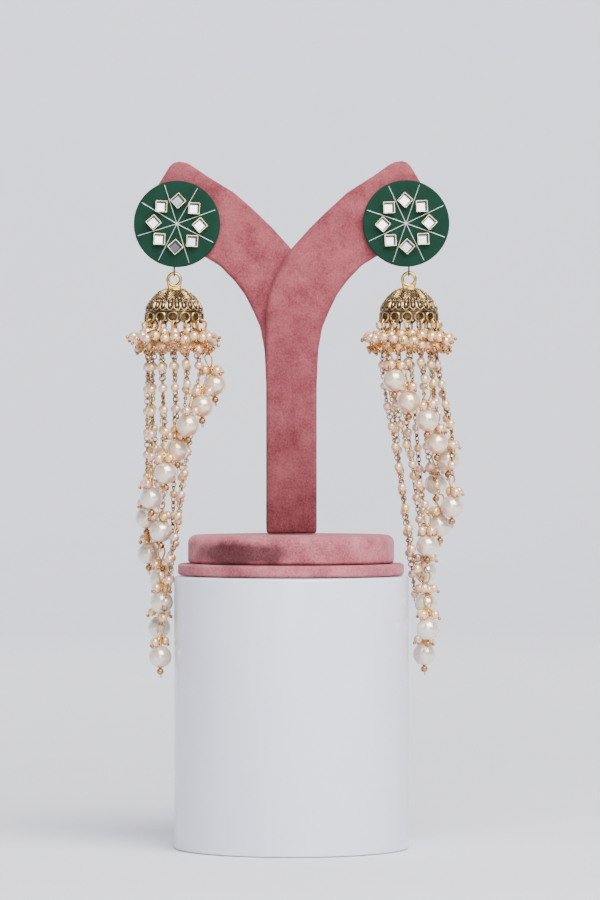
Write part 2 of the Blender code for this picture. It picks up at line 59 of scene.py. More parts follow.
# Lamps: name, place, aim, width, height, watts and colour
STAND_MIDDLE = (0, 0, 0.13)
LAMPS = (
    ("key", (0.38, -0.92, 1.16), STAND_MIDDLE, 1.25, 1.1, 55, (1, 1, 1)),
    ("fill", (-1.1, -0.9, 0.5), STAND_MIDDLE, 0.8, 0.8, 0.6, (0.93, 0.96, 1.0)),
    ("front", (0.02, -1.9, 0.34), (0, 0, 0.2), 0.62, 0.42, 4.0, (1, 1, 1)),
    ("top", (0, 0.5, 2.3), STAND_MIDDLE, 2.0, 2.0, 7, (1, 1, 1)),
    ("back", (0, 0.9, 1.7), (0, 2.7, 0.3), 2.6, 0.5, 54, (1, 1, 1)),
)
ROOM_COLOUR = (0.92, 0.94, 1.0, 1)
ROOM_STRENGTH = 0.12
FLOOR_RADIUS = 2.0
FLOOR_BEND = 0.7
WALL_TOP = 2.2
FLOOR_SINK = 0.0002

# Stand
PLINTH_EDGE = 0.0012
TIER_EDGE = 0.0010
TIER_CROWN = 0.0028
TIER_SIDE_ROWS = 6
TIER_TOP_ROWS = (0.8, 0.6, 0.4, 0.2, 0.02)
TIER_SWELLS = ((0.00012, 5, 40), (0.00008, 11, -90))
# Heights between which the bands' velvet grows darker towards the column's foot
BAND_DARKENING_HEIGHTS = (0.115, 0.205)
# A darker patch on the front of the foot: its middle, and its reach each way
DARK_PATCH_PLACE = (-0.020, -0.040, 0.1032)
DARK_PATCH_REACH = (0.022, 0.030, 0.0042)
TURNED_SIDES = 128
BAND_VOXEL = 0.0006
BAND_SMOOTHING = 8

# Ear disc with its threads and mirror settings
DISC_EDGE = 0.00045
DISC_FACE_ROWS = (0.85, 0.6, 0.35, 0.1)
STONE_COUNT = 8
STONE_CIRCLE = 0.0081
STONE_TURN = {"left": math.radians(-3.5), "right": math.radians(2.5)}
SETTING_WIDTH = 0.0041
SETTING_HEIGHT = 0.0016
SETTING_WALL = 0.00030
SETTING_CORNER = 0.00028
SETTING_BEVEL = 0.0001
MIRROR_DEPTH = 0.0011
STONE_HALF = 0.00146
STONE_SHIFT = (-0.00029, -0.00029)
STONE_TILT = 1.3
# Each stone's painted reflection: 0 white, 0.5 grey-blue, 1 dark navy, standing in for darker surroundings
# mirrored by a tilted stone
STONE_PAINTED_REFLECTIONS = {
    "left": (0.0, 0.0, 0.5, 0.05, 0.2, 0.0, 1.0, 0.28),
    "right": (0.0, 0.05, 0.0, 0.0, 0.0, 0.1, 0.35, 0.22),
}
THREAD_WIRE = 0.000085
THREAD_START = 0.0001
THREAD_END = 0.0143
THREAD_STEPS = 12
THREAD_TURNS = {
    "left": (107.7, 59.8, 19.9, -27.1, -72.7, -116.8, -162.9, 148.7),
    "right": (25.5, 71.0, 115.2, 161.3, -154.4, -109.0, -64.2, -19.6),
}

# Loop and plate behind the disc, ear post with its clutch, and ring on top of the bell
LOOP_WIRE = 0.00028
LOOP_WIDTH = 0.0011
LOOP_TUCK = 0.0014
LOOP_SEAT = 0.0002
PLATE_TUCK = 0.0006
PLATE_ROWS = ((-1, 0.94), (-0.7, 1), (0.7, 1), (1, 0.94))
POST_RADIUS = 0.00045
POST_END = 0.0015
CLUTCH_LENGTH = 0.0025
WIRE_GAP = 0.00015
RING_RADIUS = 0.0022
RING_WIRE = 0.00060
RING_SECTION = ((0, 0.00040), (0.35, 0.00052), (0.8, 0.00050), (1, 0.00034))
RING_FLOOR_STEPS = 8
CROWN_PLATE = ((0.0040, -0.0006), (0.0040, -0.0001), (0.0037, 0.00015), (0.0031, 0.00022), (0.0026, 0.00034))

# Bell, with heights measured down from its crown
BELL_RADIUS = 0.01015
BELL_HEIGHT = 0.0120
BELL_WALL = 0.0007
# The lining is a sheet inside the dome behind the holes; its marks paint the shade inside the bell.
LINING_RADIUS = 0.0087
LINING_WALL = 0.0003
LINING_DROP = 0.0023
CROWN_DROP = 0.005575
DOME_PROFILE = ((0.30, -0.004), (0.390, 0.005), (0.540, 0.075), (0.660, 0.170), (0.790, 0.280),
                (0.895, 0.400), (0.975, 0.530), (1.005, 0.640), (1.000, 0.672), (0.955, 0.690))
DOME_COLUMNS = 352
DOME_STEP = 0.00016
RIM_RISE = 0.0006

# Cast relief, with heights measured up from the dome's rim
ARCH_COUNT = 24
ARCH_CENTRE = 0.00175
ARCH_RADIUS = 0.00113
ARCH_TOP = 0.0037
DROP_CENTRE = 0.0025
DROP_REACH = 0.00085
DROP_WIDTH = 0.00040
CURL_RISE = ARCH_TOP + 0.0005
CURL_RADIUS = 0.00050
CURL_DOT = 0.00030
LEAF_COUNT = 12
LEAF_START = CURL_RISE + 0.0008
LEAF_PITCH = 0.00125
LEAF_SLANT = 4.6
LEAF_SPINE = 0.00024
LEAF_BORDER = 0.00018
RELIEF_LINE = 0.00020
RELIEF_HEIGHT = 0.00036

# Pierced skirt below the dome; each row across a lip has its share of the way, its lift and its darkness
HOLE_COUNT = 14
HOLE_RADIUS = 0.00135
HOLE_LIP = 0.0007
HOLE_SIDES = 44
HOLE_TURN = {"left": math.radians(14.3), "right": math.radians(7.9)}
HOLE_CIRCLE = BELL_RADIUS - BELL_WALL / 2
HOLE_DROP = CROWN_DROP + BELL_HEIGHT - HOLE_LIP - HOLE_RADIUS
SKIRT_CIRCLE = BELL_RADIUS - 0.0001
SKIRT_TOP = 0.00175
HALF_CELL = math.pi * SKIRT_CIRCLE / HOLE_COUNT
WEB_CORNER = 0.0011
LIP_SHARE = 0.75
LIP_ROWS = ((0, 0.00005, 0.9), (0.06, 0.00022, 0.3), (0.2, 0.00034, 0.0), (0.4, 0.00037, 0.0),
            (0.6, 0.00030, 0.0), (0.75, 0.00010, 0.5), (0.85, 0, 0.85), (1, 0, 0.6))

# Jump rings and the ruff of small pearls on head pins
JUMP_RADIUS = 0.0018
JUMP_WIRE = 0.00035
JUMP_DROP = HOLE_DROP + HOLE_RADIUS - WIRE_GAP - JUMP_WIRE + JUMP_RADIUS
RUFF_DROP = 0.0211
RUFF_HEIGHT = 0.0076
RUFF_ROWS = (
    {"circle": 0.0139, "drop": 0.0231, "dip": 0.50, "pearls": 25},
    {"circle": 0.0117, "drop": 0.0256, "dip": 1.10, "pearls": 12},
    {"circle": 0.0114, "drop": 0.0217, "dip": 0.30, "pearls": 17},
)
RUFF_TAILS = 64
TAIL_CIRCLE = 0.0128
TAIL_DROP = 0.0264
RUFF_PEARL = 0.00172

# Strands: beads, links, teardrop loops, clusters, big pearls and balls
CHAIN_RADIUS = 0.0009
SMALL_PEARL = 0.00156
PEARL_PITCH = 0.0075
FIRST_PEARL = 0.0046
LAST_PEARL = 0.0032
LINK_WIRE = 0.00021
EYE_WIDTH = 0.00080
EYE_LENGTH = 0.0016
LINK_WIDTH = 0.00112
LINK_LENGTH = 0.0024
LINK_OVERLAP = 0.00086
CLUSTER_TOP = 0.0112
TEAR_FOOT = 0.0062
TEAR_LENGTH = CLUSTER_TOP - TEAR_FOOT
TEAR_WIDTH = 0.0024
TEAR_WIRE = 0.00031
CLUSTER_PEARL = 0.00155
CLUSTER_CIRCLE = 0.0026
CLUSTER_HEIGHT = 0.0051
LOOP_SPACE = 0.0010
BIG_PEARL = 0.0040
BALL_RADIUS = 0.00125
BALL_DROP = BIG_PEARL + BALL_RADIUS - 0.0001
NECK_WIRE = 0.00035
PIN_BALL = 0.00062
CURL_WIRE = 0.00014
CURL_SIZE = 0.00052
CURL_TURNS = 1.35
CURL_STEPS = 21
BEAD_CLEARANCE = 0.00015

# Wrapped collars: radius and wire, and turns where there are more than one
COLLAR_RADIUS = 0.00036
COLLAR_WIRE = 0.00014
TIP_COLLAR = (0.0003, 0.0001)
NECK_COLLAR = (0.00050, 0.00018, 6)
BALL_COLLAR = (0.0004, 0.00014)

# Each strand's hole in the skirt, and its route's points: outward, back and down from the swing axis
STRAND_ROUTES = {
    "left": (
        (1, (-0.0143, 0.0005, 0.0391)),
        (2, (-0.0099, -0.0060, 0.0465)),
        (3, (-0.0051, -0.0112, 0.0533)),
        (4, (-0.0012, -0.0053, 0.0619)),
        (5, (0.0026, -0.0115, 0.0698)),
        (6, (0.0078, -0.0063, 0.0786)),
        (8, (0.0098, 0.0058, 0.0855)),
        (7, (0.0047, 0.0005, 0.0902)),
        (9, (0.0093, 0.0132, 0.0983)),
        (10, (0.0048, 0.0073, 0.1070)),
        (12, (-0.0010, 0.0035, 0.0900), (0.0044, 0.0003, 0.1151)),
        (11, (0.0015, 0.0122, 0.1070), (0.0055, 0.0102, 0.1242)),
        (14, (0.0024, -0.0052, 0.1110), (0.0034, -0.0052, 0.1195), (0.0048, -0.0028, 0.1340)),
    ),
    "right": (
        (3, (-0.0053, -0.0120, 0.0376)),
        (4, (-0.0002, -0.0070, 0.0451)),
        (5, (0.0061, -0.0100, 0.0515)),
        (6, (0.0097, -0.0040, 0.0594)),
        (8, (0.0138, 0.0024, 0.0652)),
        (9, (0.0097, 0.0088, 0.0738)),
        (7, (0.0146, -0.0026, 0.0560), (0.0149, -0.0030, 0.0816)),
        (10, (0.0065, 0.0040, 0.0620), (0.0109, 0.0028, 0.0884)),
        (2, (-0.0050, -0.0022, 0.0460), (0.0064, -0.0026, 0.0951)),
        (11, (0.0060, 0.0110, 0.1047)),
        (12, (0.0061, 0.0032, 0.1157)),
        (1, (0.0010, -0.0030, 0.0950), (0.0065, -0.0040, 0.1242)),
        (13, (0.0014, 0.0083, 0.1060), (0.0056, 0.0086, 0.1335)),
    ),
}

# The joined pieces of each tassel, with their material and slot
TASSEL_PIECES = (
    ("chain_links", "chain", "strand_gold"),
    ("seed_pearls", "seed_pearl", "seed_pearl"),
    ("jump_rings", "bright", "strand_gold"),
    ("loop_wires", "bright", "strand_gold"),
    ("pin_tips", "ball", "strand_gold"),
    ("cluster_pearls", "seed_pearl", "seed_pearl"),
    ("big_pearls", "big_pearl", "big_pearl"),
    ("gold_balls", "ball", "strand_gold"),
)

SIDES = {"left": -1, "right": 1}
DROPS = {"left": "left_drop", "right": "right_drop"}
SWING_AXES = {joint["child"]: Vector(joint["pos_m"]) for joint in frame["joints"]}


# Shader helpers and shared groups

def feed(tree, target, inputs):
    """Gives a node's inputs their values, or links from other nodes' sockets."""
    for label, value in inputs.items():
        socket = target.inputs[label]
        if isinstance(value, bpy.types.NodeSocket):
            tree.links.new(value, socket)
        elif socket.type == "RGBA":
            socket.default_value = (*value, 1)
        else:
            socket.default_value = value


def add_node(tree, kind, inputs, **settings):
    made = tree.nodes.new(kind)
    for label, value in settings.items():
        setattr(made, label, value)
    feed(tree, made, inputs)
    return made


def object_place(tree):
    return add_node(tree, "ShaderNodeTexCoord", {}).outputs["Object"]


def noise(tree, place, scale, detail, roughness=0.5):
    inputs = {"Vector": place, "Scale": scale, "Detail": detail, "Roughness": roughness}
    return add_node(tree, "ShaderNodeTexNoise", inputs).outputs["Fac"]


def spread(tree, value, low, high, start=0, end=1, **settings):
    """How far a value is between two limits, spread from a start to an end."""
    inputs = {"Value": value, "From Min": low, "From Max": high, "To Min": start, "To Max": end}
    return add_node(tree, "ShaderNodeMapRange", inputs, **settings).outputs[0]


def multiply_add(tree, value, factor, addend):
    inputs = {0: value, 1: factor, 2: addend}
    return add_node(tree, "ShaderNodeMath", inputs, operation="MULTIPLY_ADD").outputs[0]


def mix_colours(tree, share, first, second):
    return add_node(tree, "ShaderNodeMix", {0: share, 6: first, 7: second}, data_type="RGBA").outputs[2]


def vector_math(tree, operation, *vectors):
    return add_node(tree, "ShaderNodeVectorMath", dict(enumerate(vectors)), operation=operation).outputs


def new_group(name, inputs, outputs):
    """An empty node group, with the sockets that bring its inputs and the node that takes its outputs."""
    group = bpy.data.node_groups.new(name, "ShaderNodeTree")
    for label, value in inputs.items():
        coloured = isinstance(value, tuple)
        kind = "NodeSocketColor" if coloured else "NodeSocketFloat"
        socket = group.interface.new_socket(label, in_out="INPUT", socket_type=kind)
        socket.default_value = (*value, 1) if coloured else value
    for label, kind in outputs.items():
        group.interface.new_socket(label, in_out="OUTPUT", socket_type=kind)
    return group, group.nodes.new("NodeGroupInput").outputs, group.nodes.new("NodeGroupOutput")


def make_mottle_group():
    """Two colours in soft patches, broken up by a finer grain."""
    group, given, sink = new_group(
        "mottle",
        {"Light": (1, 1, 1), "Dark": (0, 0, 0), "Patch scale": 100, "Grain scale": 1000, "Grain share": 0.5},
        {"Colour": "NodeSocketColor"})
    place = object_place(group)
    patch = noise(group, place, given["Patch scale"], 3, 0.55)
    grain = noise(group, place, given["Grain scale"], 2, 0.6)
    blend = add_node(group, "ShaderNodeMix", {0: given["Grain share"], 2: patch, 3: grain}).outputs[0]
    share = spread(group, blend, 0.36, 0.64)
    feed(group, sink, {"Colour": mix_colours(group, share, given["Dark"], given["Light"])})
    return group


def make_grain_group():
    """A fine bumpy grain as a normal."""
    group, given, sink = new_group(
        "surface_grain", {"Scale": 1000, "Depth": 0.0001, "Strength": 0.3}, {"Normal": "NodeSocketVector"})
    height = noise(group, object_place(group), given["Scale"], 4, 0.6)
    bump = add_node(group, "ShaderNodeBump",
                    {"Height": height, "Distance": given["Depth"], "Strength": given["Strength"]})
    feed(group, sink, {"Normal": bump.outputs["Normal"]})
    return group


def make_patina_and_shade_group():
    """Gold that darkens where the mesh marks its hollows, with a cloudy tarnish: patina in the relief, and
    painted shade inside the bell and the settings.
    """
    group, given, sink = new_group(
        "patina_and_shade",
        {"Bright": (1, 0.7, 0.3), "Tarnish": (0.3, 0.2, 0.1), "Hollow": (0.02, 0.01, 0.005),
         "Cloud scale": 300, "Tarnish share": 0.4},
        {"Colour": "NodeSocketColor", "Roughness": "NodeSocketFloat", "Metal": "NodeSocketFloat"})
    cloudy = spread(group, noise(group, object_place(group), given["Cloud scale"], 4, 0.6), 0.40, 0.66)
    share = add_node(group, "ShaderNodeMath", {0: cloudy, 1: given["Tarnish share"]}, operation="MULTIPLY")
    worn = mix_colours(group, share.outputs[0], given["Bright"], given["Tarnish"])
    hollow = add_node(group, "ShaderNodeAttribute", {}, attribute_name="hollow").outputs["Fac"]
    deep = spread(group, hollow, 0.25, 0.85, interpolation_type="SMOOTHSTEP")
    feed(group, sink, {
        "Colour": mix_colours(group, deep, worn, given["Hollow"]),
        "Roughness": multiply_add(group, cloudy, 0.10, spread(group, deep, 0, 1, 0.17, 0.6)),
        "Metal": spread(group, deep, 0, 1, 1.0, 0.55),
    })
    return group


def make_bead_tone_group():
    """Each bead of a joined mesh gets its own tone between three colours."""
    group, given, sink = new_group(
        "bead_tone",
        {"Cool": (1, 1, 1), "Plain": (1, 1, 1), "Warm": (1, 1, 1)},
        {"Colour": "NodeSocketColor"})
    island = add_node(group, "ShaderNodeNewGeometry", {}).outputs["Random Per Island"]
    mixed = multiply_add(group, noise(group, object_place(group), 420, 2), 0.5, island)
    first = mix_colours(group, spread(group, mixed, 0.15, 0.6), given["Cool"], given["Plain"])
    second = mix_colours(group, spread(group, mixed, 0.7, 1.25), first, given["Warm"])
    feed(group, sink, {"Colour": second})
    return group


MOTTLE = make_mottle_group()
GRAIN = make_grain_group()
PATINA_AND_SHADE = make_patina_and_shade_group()
BEAD_TONE = make_bead_tone_group()


# Materials

def new_material(name, **sockets):
    """A Principled material with these values on its own sockets."""
    material = bpy.data.materials.new(name)
    material.use_nodes = True
    tree = material.node_tree
    shader = tree.nodes["Principled BSDF"]
    feed(tree, shader, {label.replace("_", " "): value for label, value in sockets.items()})
    return material, tree, shader


def place_group(tree, group, inputs):
    return add_node(tree, "ShaderNodeGroup", inputs, node_tree=group)


def add_grain(tree, shader, scale, depth, strength):
    grain = place_group(tree, GRAIN, {"Scale": scale, "Depth": depth, "Strength": strength})
    feed(tree, shader, {"Normal": grain.outputs["Normal"]})


def mottled(name, light, dark, patches, grain=None, **sockets):
    """A material in two tones, with its node tree and the group that makes its colour.

    Patches holds their scale, the scale of the grain in them and its share.
    Grain holds the scale, depth and strength of the bumps.
    """
    material, tree, shader = new_material(name, **sockets)
    patch_scale, grain_scale, grain_share = patches
    tone = place_group(tree, MOTTLE, {"Light": light, "Dark": dark, "Patch scale": patch_scale,
                                      "Grain scale": grain_scale, "Grain share": grain_share})
    feed(tree, shader, {"Base Color": tone.outputs["Colour"]})
    if grain:
        add_grain(tree, shader, *grain)
    return material, tree, tone


def plinth_lacquer():
    return mottled("plinth_lacquer", (0.76, 0.775, 0.87), (0.73, 0.745, 0.84), (25, 140, 0.3),
                   (90, 0.0002, 0.03), Roughness=0.22, Coat_Weight=0.3, Coat_Roughness=0.08)[0]


def green_felt():
    return mottled("green_felt", (0.0012, 0.031, 0.0155), (0.0007, 0.020, 0.0100), (220, 2200, 0.5),
                   (2600, 0.00015, 0.35), Roughness=0.8, Sheen_Weight=0.03, Sheen_Roughness=0.5,
                   Specular_IOR_Level=0.2)[0]


def floor_paper():
    return mottled("pale_floor_paper", (0.78, 0.785, 0.84), (0.76, 0.765, 0.82), (8, 60, 0.4),
                   Roughness=0.9, Specular_IOR_Level=0.1)[0]


def plain_metal(name, light, dark, roughness, grain):
    return mottled(name, light, dark, (300, 1800, 0.4), (1800, 0.00005, grain),
                   Metallic=1.0, Roughness=roughness)[0]


def rose_velvet(name, light, dark, sheen, darkening):
    """Velvet in two tones, made darker wherever the share that its darkening gives falls below one."""
    material, tree, pile = mottled(
        name, light, dark, (120, 1500, 0.45), (1700, 0.0005, 0.6), Roughness=0.9, Sheen_Weight=sheen,
        Sheen_Roughness=0.35, Sheen_Tint=(1.0, 0.66, 0.68), Specular_IOR_Level=0.12)
    share = darkening(tree, object_place(tree))
    for label, colour in (("Light", light), ("Dark", dark)):
        feed(tree, pile, {label: mix_colours(tree, share, (0, 0, 0), colour)})
    return material


def band_darkening(tree, place):
    """The bands grow darker in tone towards the foot of the column."""
    height = add_node(tree, "ShaderNodeSeparateXYZ", {"Vector": place}).outputs["Z"]
    return spread(tree, height, *BAND_DARKENING_HEIGHTS, 0.60, 1.0)


def foot_dark_patch(tree, place):
    """The foot has one darker patch at the front, with a ragged edge."""
    offset = vector_math(tree, "SUBTRACT", place, DARK_PATCH_PLACE)[0]
    shape = vector_math(tree, "DIVIDE", offset, DARK_PATCH_REACH)[0]
    reach = vector_math(tree, "LENGTH", shape)["Value"]
    edge = multiply_add(tree, noise(tree, place, 130, 4), 0.9, reach)
    return spread(tree, edge, 1.15, 1.6, 0.30, 1.0)


def gold(name, bright, tarnish, hollow, share, grain):
    """Worn gold with its tarnish and the colour of its hollows, which is patina on the relief and painted
    shade inside the bell and the settings.
    """
    material, tree, shader = new_material(name, Metallic=1.0)
    patina_and_shade = place_group(tree, PATINA_AND_SHADE, {"Bright": bright, "Tarnish": tarnish, "Hollow": hollow,
                                        "Tarnish share": share}).outputs
    feed(tree, shader, {"Base Color": patina_and_shade["Colour"], "Roughness": patina_and_shade["Roughness"],
                        "Metallic": patina_and_shade["Metal"]})
    add_grain(tree, shader, 1400, 0.00006, grain)
    return material


def mirror_stone():
    """Foiled glass, mostly white, with painted reflections: grey or dark where a stone's tone says so, in
    place of the darker surroundings a tilted mirror would show.
    """
    material, tree, shader = new_material("mirror_stone_foil", Metallic=0.85, Roughness=0.10, Coat_Weight=1.0,
                                          Coat_Roughness=0.03)
    # The tone attribute paints each stone's reflection, from white through grey-blue to dark navy.
    tone = add_node(tree, "ShaderNodeAttribute", {}, attribute_name="tone").outputs["Fac"]
    ramp = add_node(tree, "ShaderNodeValToRGB", {"Fac": tone})
    ramp.color_ramp.elements[0].color = (0.93, 0.93, 0.95, 1)
    ramp.color_ramp.elements[1].color = (0.012, 0.012, 0.024, 1)
    ramp.color_ramp.elements.new(0.5).color = (0.17, 0.19, 0.23, 1)
    feed(tree, shader, {"Base Color": ramp.outputs["Color"]})
    add_grain(tree, shader, 900, 0.00004, 0.04)
    return material


def pearl(name, cool, plain, warm, film):
    """Nacre: a creamy body with a soft mirror of its own under a clear coat, and a blush round its edge."""
    material, tree, shader = new_material(
        name, Metallic=0.5, Roughness=0.27, Coat_Weight=1.0, Coat_Roughness=0.17, Coat_IOR=2.3,
        Sheen_Weight=0.2, Sheen_Roughness=0.3, Sheen_Tint=(1.0, 0.72, 0.55),
        Thin_Film_Thickness=film, Thin_Film_IOR=1.3)
    tone = place_group(tree, BEAD_TONE, {"Cool": cool, "Plain": plain, "Warm": warm})
    feed(tree, shader, {"Base Color": tone.outputs["Colour"]})
    add_grain(tree, shader, 500, 0.0001, 0.05)
    return material


WARM_HOLLOW = (0.10, 0.05, 0.02)
MATERIALS = {
    "plinth": plinth_lacquer(),
    "band": rose_velvet("rose_velvet_band", (0.33, 0.088, 0.100), (0.175, 0.034, 0.043), 0.22, band_darkening),
    "foot": rose_velvet("rose_velvet_foot", (0.50, 0.165, 0.185), (0.25, 0.060, 0.075), 0.4, foot_dark_patch),
    "felt": green_felt(),
    # Bell: its near-black hollow colour is patina in the relief, and painted shade inside the bell.
    "bell": gold("bell_antique_gold", (0.60, 0.41, 0.18), (0.19, 0.108, 0.045), (0.016, 0.007, 0.003),
                 0.9, 0.25),
    "ring": gold("ring_worn_gold", (0.70, 0.46, 0.14), (0.22, 0.12, 0.035), (0.02, 0.01, 0.004), 0.7, 0.15),
    "bright": gold("fitting_bright_gold", (0.84, 0.50, 0.15), (0.38, 0.17, 0.04), WARM_HOLLOW, 0.65, 0.1),
    "chain": gold("chain_rose_gold", (0.54, 0.33, 0.13), (0.19, 0.088, 0.032), WARM_HOLLOW, 0.8, 0.1),
    "ball": gold("ball_copper_gold", (0.54, 0.28, 0.11), (0.17, 0.07, 0.022), WARM_HOLLOW, 0.6, 0.1),
    # Settings: their grey hollow colour is painted shade on the inner walls of the boxes.
    "setting": gold("setting_pale_gold", (0.86, 0.71, 0.48), (0.56, 0.42, 0.23), (0.15, 0.14, 0.135),
                    0.6, 0.08),
    "mirror": mirror_stone(),
    "hanger": plain_metal("hanger_dark_wire", (0.11, 0.09, 0.06), (0.04, 0.035, 0.03), 0.35, 0.1),
    "thread": plain_metal("silver_thread_wire", (0.98, 0.99, 0.98), (0.88, 0.91, 0.89), 0.5, 0.3),
    "steel": plain_metal("post_steel_wire", (0.62, 0.61, 0.60), (0.46, 0.45, 0.44), 0.3, 0.15),
    "seed_pearl": pearl("seed_pearl_cream", (0.84, 0.55, 0.44), (0.88, 0.57, 0.29), (0.88, 0.57, 0.19), 330),
    "big_pearl": pearl("big_pearl_white", (0.80, 0.71, 0.61), (0.84, 0.69, 0.51), (0.88, 0.67, 0.43), 300),
}


# Mesh helpers

class Pile:
    """Points and faces of many small shapes that end up as one joined mesh."""

    def __init__(self, points=(), faces=()):
        self.points = []
        self.faces = []
        self.add(points, faces)

    def add(self, points, faces):
        start = len(self.points)
        self.points.extend(tuple(point) for point in points)
        self.faces.extend([start + i for i in face] for face in faces)


def place_object(name, data):
    made = bpy.data.objects.new(name, data)
    bpy.context.scene.collection.objects.link(made)
    return made


def dress_mesh(name, mesh, material, body, sharp=50):
    """Gives a mesh its material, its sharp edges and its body."""
    mesh.materials.clear()
    mesh.materials.append(MATERIALS[material])
    shape = bmesh.new()
    shape.from_mesh(mesh)
    bmesh.ops.recalc_face_normals(shape, faces=shape.faces)
    shape.to_mesh(mesh)
    shape.free()
    mesh.shade_smooth()
    mesh.set_sharp_from_angle(angle=math.radians(sharp))
    piece = place_object(name, mesh)
    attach(piece, body)
    return piece


def make_piece(name, pile, material, body, sharp=50):
    mesh = bpy.data.meshes.new(name)
    mesh.from_pydata(pile.points, [], pile.faces)
    return dress_mesh(name, mesh, material, body, sharp)


def mark_points(mesh, label, values):
    layer = mesh.attributes.new(label, "FLOAT", "POINT")
    layer.data.foreach_set("value", np.array(values, dtype=np.float32))


def around(radius, turn, height=0):
    """The point at a radius and a turn about the upright axis."""
    return Vector((radius * math.cos(turn), radius * math.sin(turn), height))


def circle_turns(count):
    return [math.tau * i / count for i in range(count)]


def row_faces(rows, count, closed=False):
    """Faces between rows of points, each a ring; the ends are capped unless the rows close as well."""
    faces = []
    for row in range(rows if closed else rows - 1):
        here, after = row * count, (row + 1) % rows * count
        for i in range(count):
            j = (i + 1) % count
            faces.append((here + i, here + j, after + j, after + i))
    if not closed:
        faces.append(list(range(count))[::-1])
        faces.append([(rows - 1) * count + i for i in range(count)])
    return faces


def run_lengths(path):
    """Length along a path from its start to each of its points."""
    lengths = [0.0]
    for start, end in zip(path, path[1:]):
        lengths.append(lengths[-1] + (end - start).length)
    return lengths


def smooth_curve(points, spacing):
    """Points along a curve that passes through all the given ones, about one spacing apart."""
    ends = [2 * points[0] - points[1]] + list(points) + [2 * points[-1] - points[-2]]
    made = [points[0]]
    for before, start, end, after in zip(ends, ends[1:], ends[2:], ends[3:]):
        steps = max(1, round((end - start).length / spacing))
        for k in range(1, steps + 1):
            t = k / steps
            made.append(
                0.5 * (2 * start + t * (end - before)
                       + t**2 * (2 * before - 5 * start + 4 * end - after)
                       + t**3 * (3 * start - 3 * end + after - before))
            )
    return made


def turned(rows, sides):
    """Points and faces of a solid turned about Z from rows of radius and height, capped at both ends."""
    points = [around(radius, turn, height) for radius, height in rows for turn in circle_turns(sides)]
    return points, row_faces(len(rows), sides)


def rounded(radius, height, edge, steps=6, low=True):
    """Quarter-round rows from a side wall onto the flat above it, or below it."""
    rows = []
    for k in range(steps + 1):
        turn = math.pi / 2 * k / steps
        if low:
            rows.append((radius - edge + edge * math.sin(turn), height + edge - edge * math.cos(turn)))
        else:
            rows.append((radius - edge + edge * math.cos(turn), height - edge + edge * math.sin(turn)))
    return rows


def unit_ball(sides, rows):
    points = [Vector((0, 0, 1))]
    for row in range(1, rows):
        tilt = math.pi * row / rows
        points += [around(math.sin(tilt), turn, math.cos(tilt)) for turn in circle_turns(sides)]
    points.append(Vector((0, 0, -1)))
    faces = []
    last = len(points) - 1
    for i in range(sides):
        j = (i + 1) % sides
        faces.append((0, 1 + i, 1 + j))
        faces.append((last, last - sides + j, last - sides + i))
        for row in range(rows - 2):
            start = 1 + row * sides
            faces.append((start + i, start + sides + i, start + sides + j, start + j))
    return points, faces


BALLS = {"small": unit_ball(18, 11), "big": unit_ball(40, 24), "tip": unit_ball(12, 8)}


def add_ball(pile, kind, centre, radius, axis=UP, stretch=1.0):
    """A round bead with its drilled axis along the given direction."""
    points, faces = BALLS[kind]
    whole = axis.to_track_quat("Z", "Y").to_matrix() @ Matrix.Diagonal((radius, radius, radius * stretch))
    pile.add([centre + whole @ point for point in points], faces)


def wire_section(middle, first, second, wire, sides):
    """Points round a wire at one place, in the plane of two directions."""
    return [middle + wire * (math.cos(turn) * first + math.sin(turn) * second)
            for turn in circle_turns(sides)]


def add_loop(pile, outline, wire, centre, along, across, sides=6):
    """A closed wire whose middle line is an outline in the plane of two directions."""
    normal = along.cross(across).normalized()
    points = []
    for before, (u, v), after in zip(outline[-1:] + outline, outline, outline[1:] + outline[:1]):
        run = math.hypot(after[0] - before[0], after[1] - before[1])
        outward = (after[1] - before[1]) / run * along + (before[0] - after[0]) / run * across
        points += wire_section(centre + u * along + v * across, outward, normal, wire, sides)
    pile.add(points, row_faces(len(outline), sides, closed=True))


def add_wire(pile, path, wire, sides=6):
    """A round wire along a run of points, capped at both ends."""
    points = []
    side = None
    for i, centre in enumerate(path):
        along = (path[min(i + 1, len(path) - 1)] - path[max(i - 1, 0)]).normalized()
        if side is None:
            side = along.orthogonal().normalized()
        side = (side - along * side.dot(along)).normalized()
        points += wire_section(centre, side, along.cross(side), wire, sides)
    pile.add(points, row_faces(len(path), sides))


def add_rings(pile, rings, move):
    """A solid through closed rings of points, capped at both ends."""
    pile.add([move(point) for ring in rings for point in ring], row_faces(len(rings), len(rings[0])))


def oval(half_length, half_width, segments=14):
    """An oval outline whose ends and sides are both round."""
    return [(half_length * math.cos(turn), half_width * math.sin(turn)) for turn in circle_turns(segments)]


def teardrop(length, width, segments=28):
    """A loop that is round at its top and comes to a point at its foot, from its top downward."""
    made = []
    for turn in circle_turns(segments):
        share = math.cos(turn / 2) ** 2
        taper = abs(math.cos(turn / 2)) ** 1.1
        made.append((length * (share - 0.5), 0.77 * width * math.sin(turn) * taper))
    return made


# Stand

def make_plinth():
    low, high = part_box("plinth")
    radius = (high.x - low.x) / 2
    rows = rounded(radius, low.z, PLINTH_EDGE / 2, 3) + rounded(radius, high.z, PLINTH_EDGE, 6, low=False)
    pile = Pile(*turned(rows, TURNED_SIDES))
    piece = make_piece("plinth_block", pile, "plinth", "root", 40)
    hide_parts("plinth")


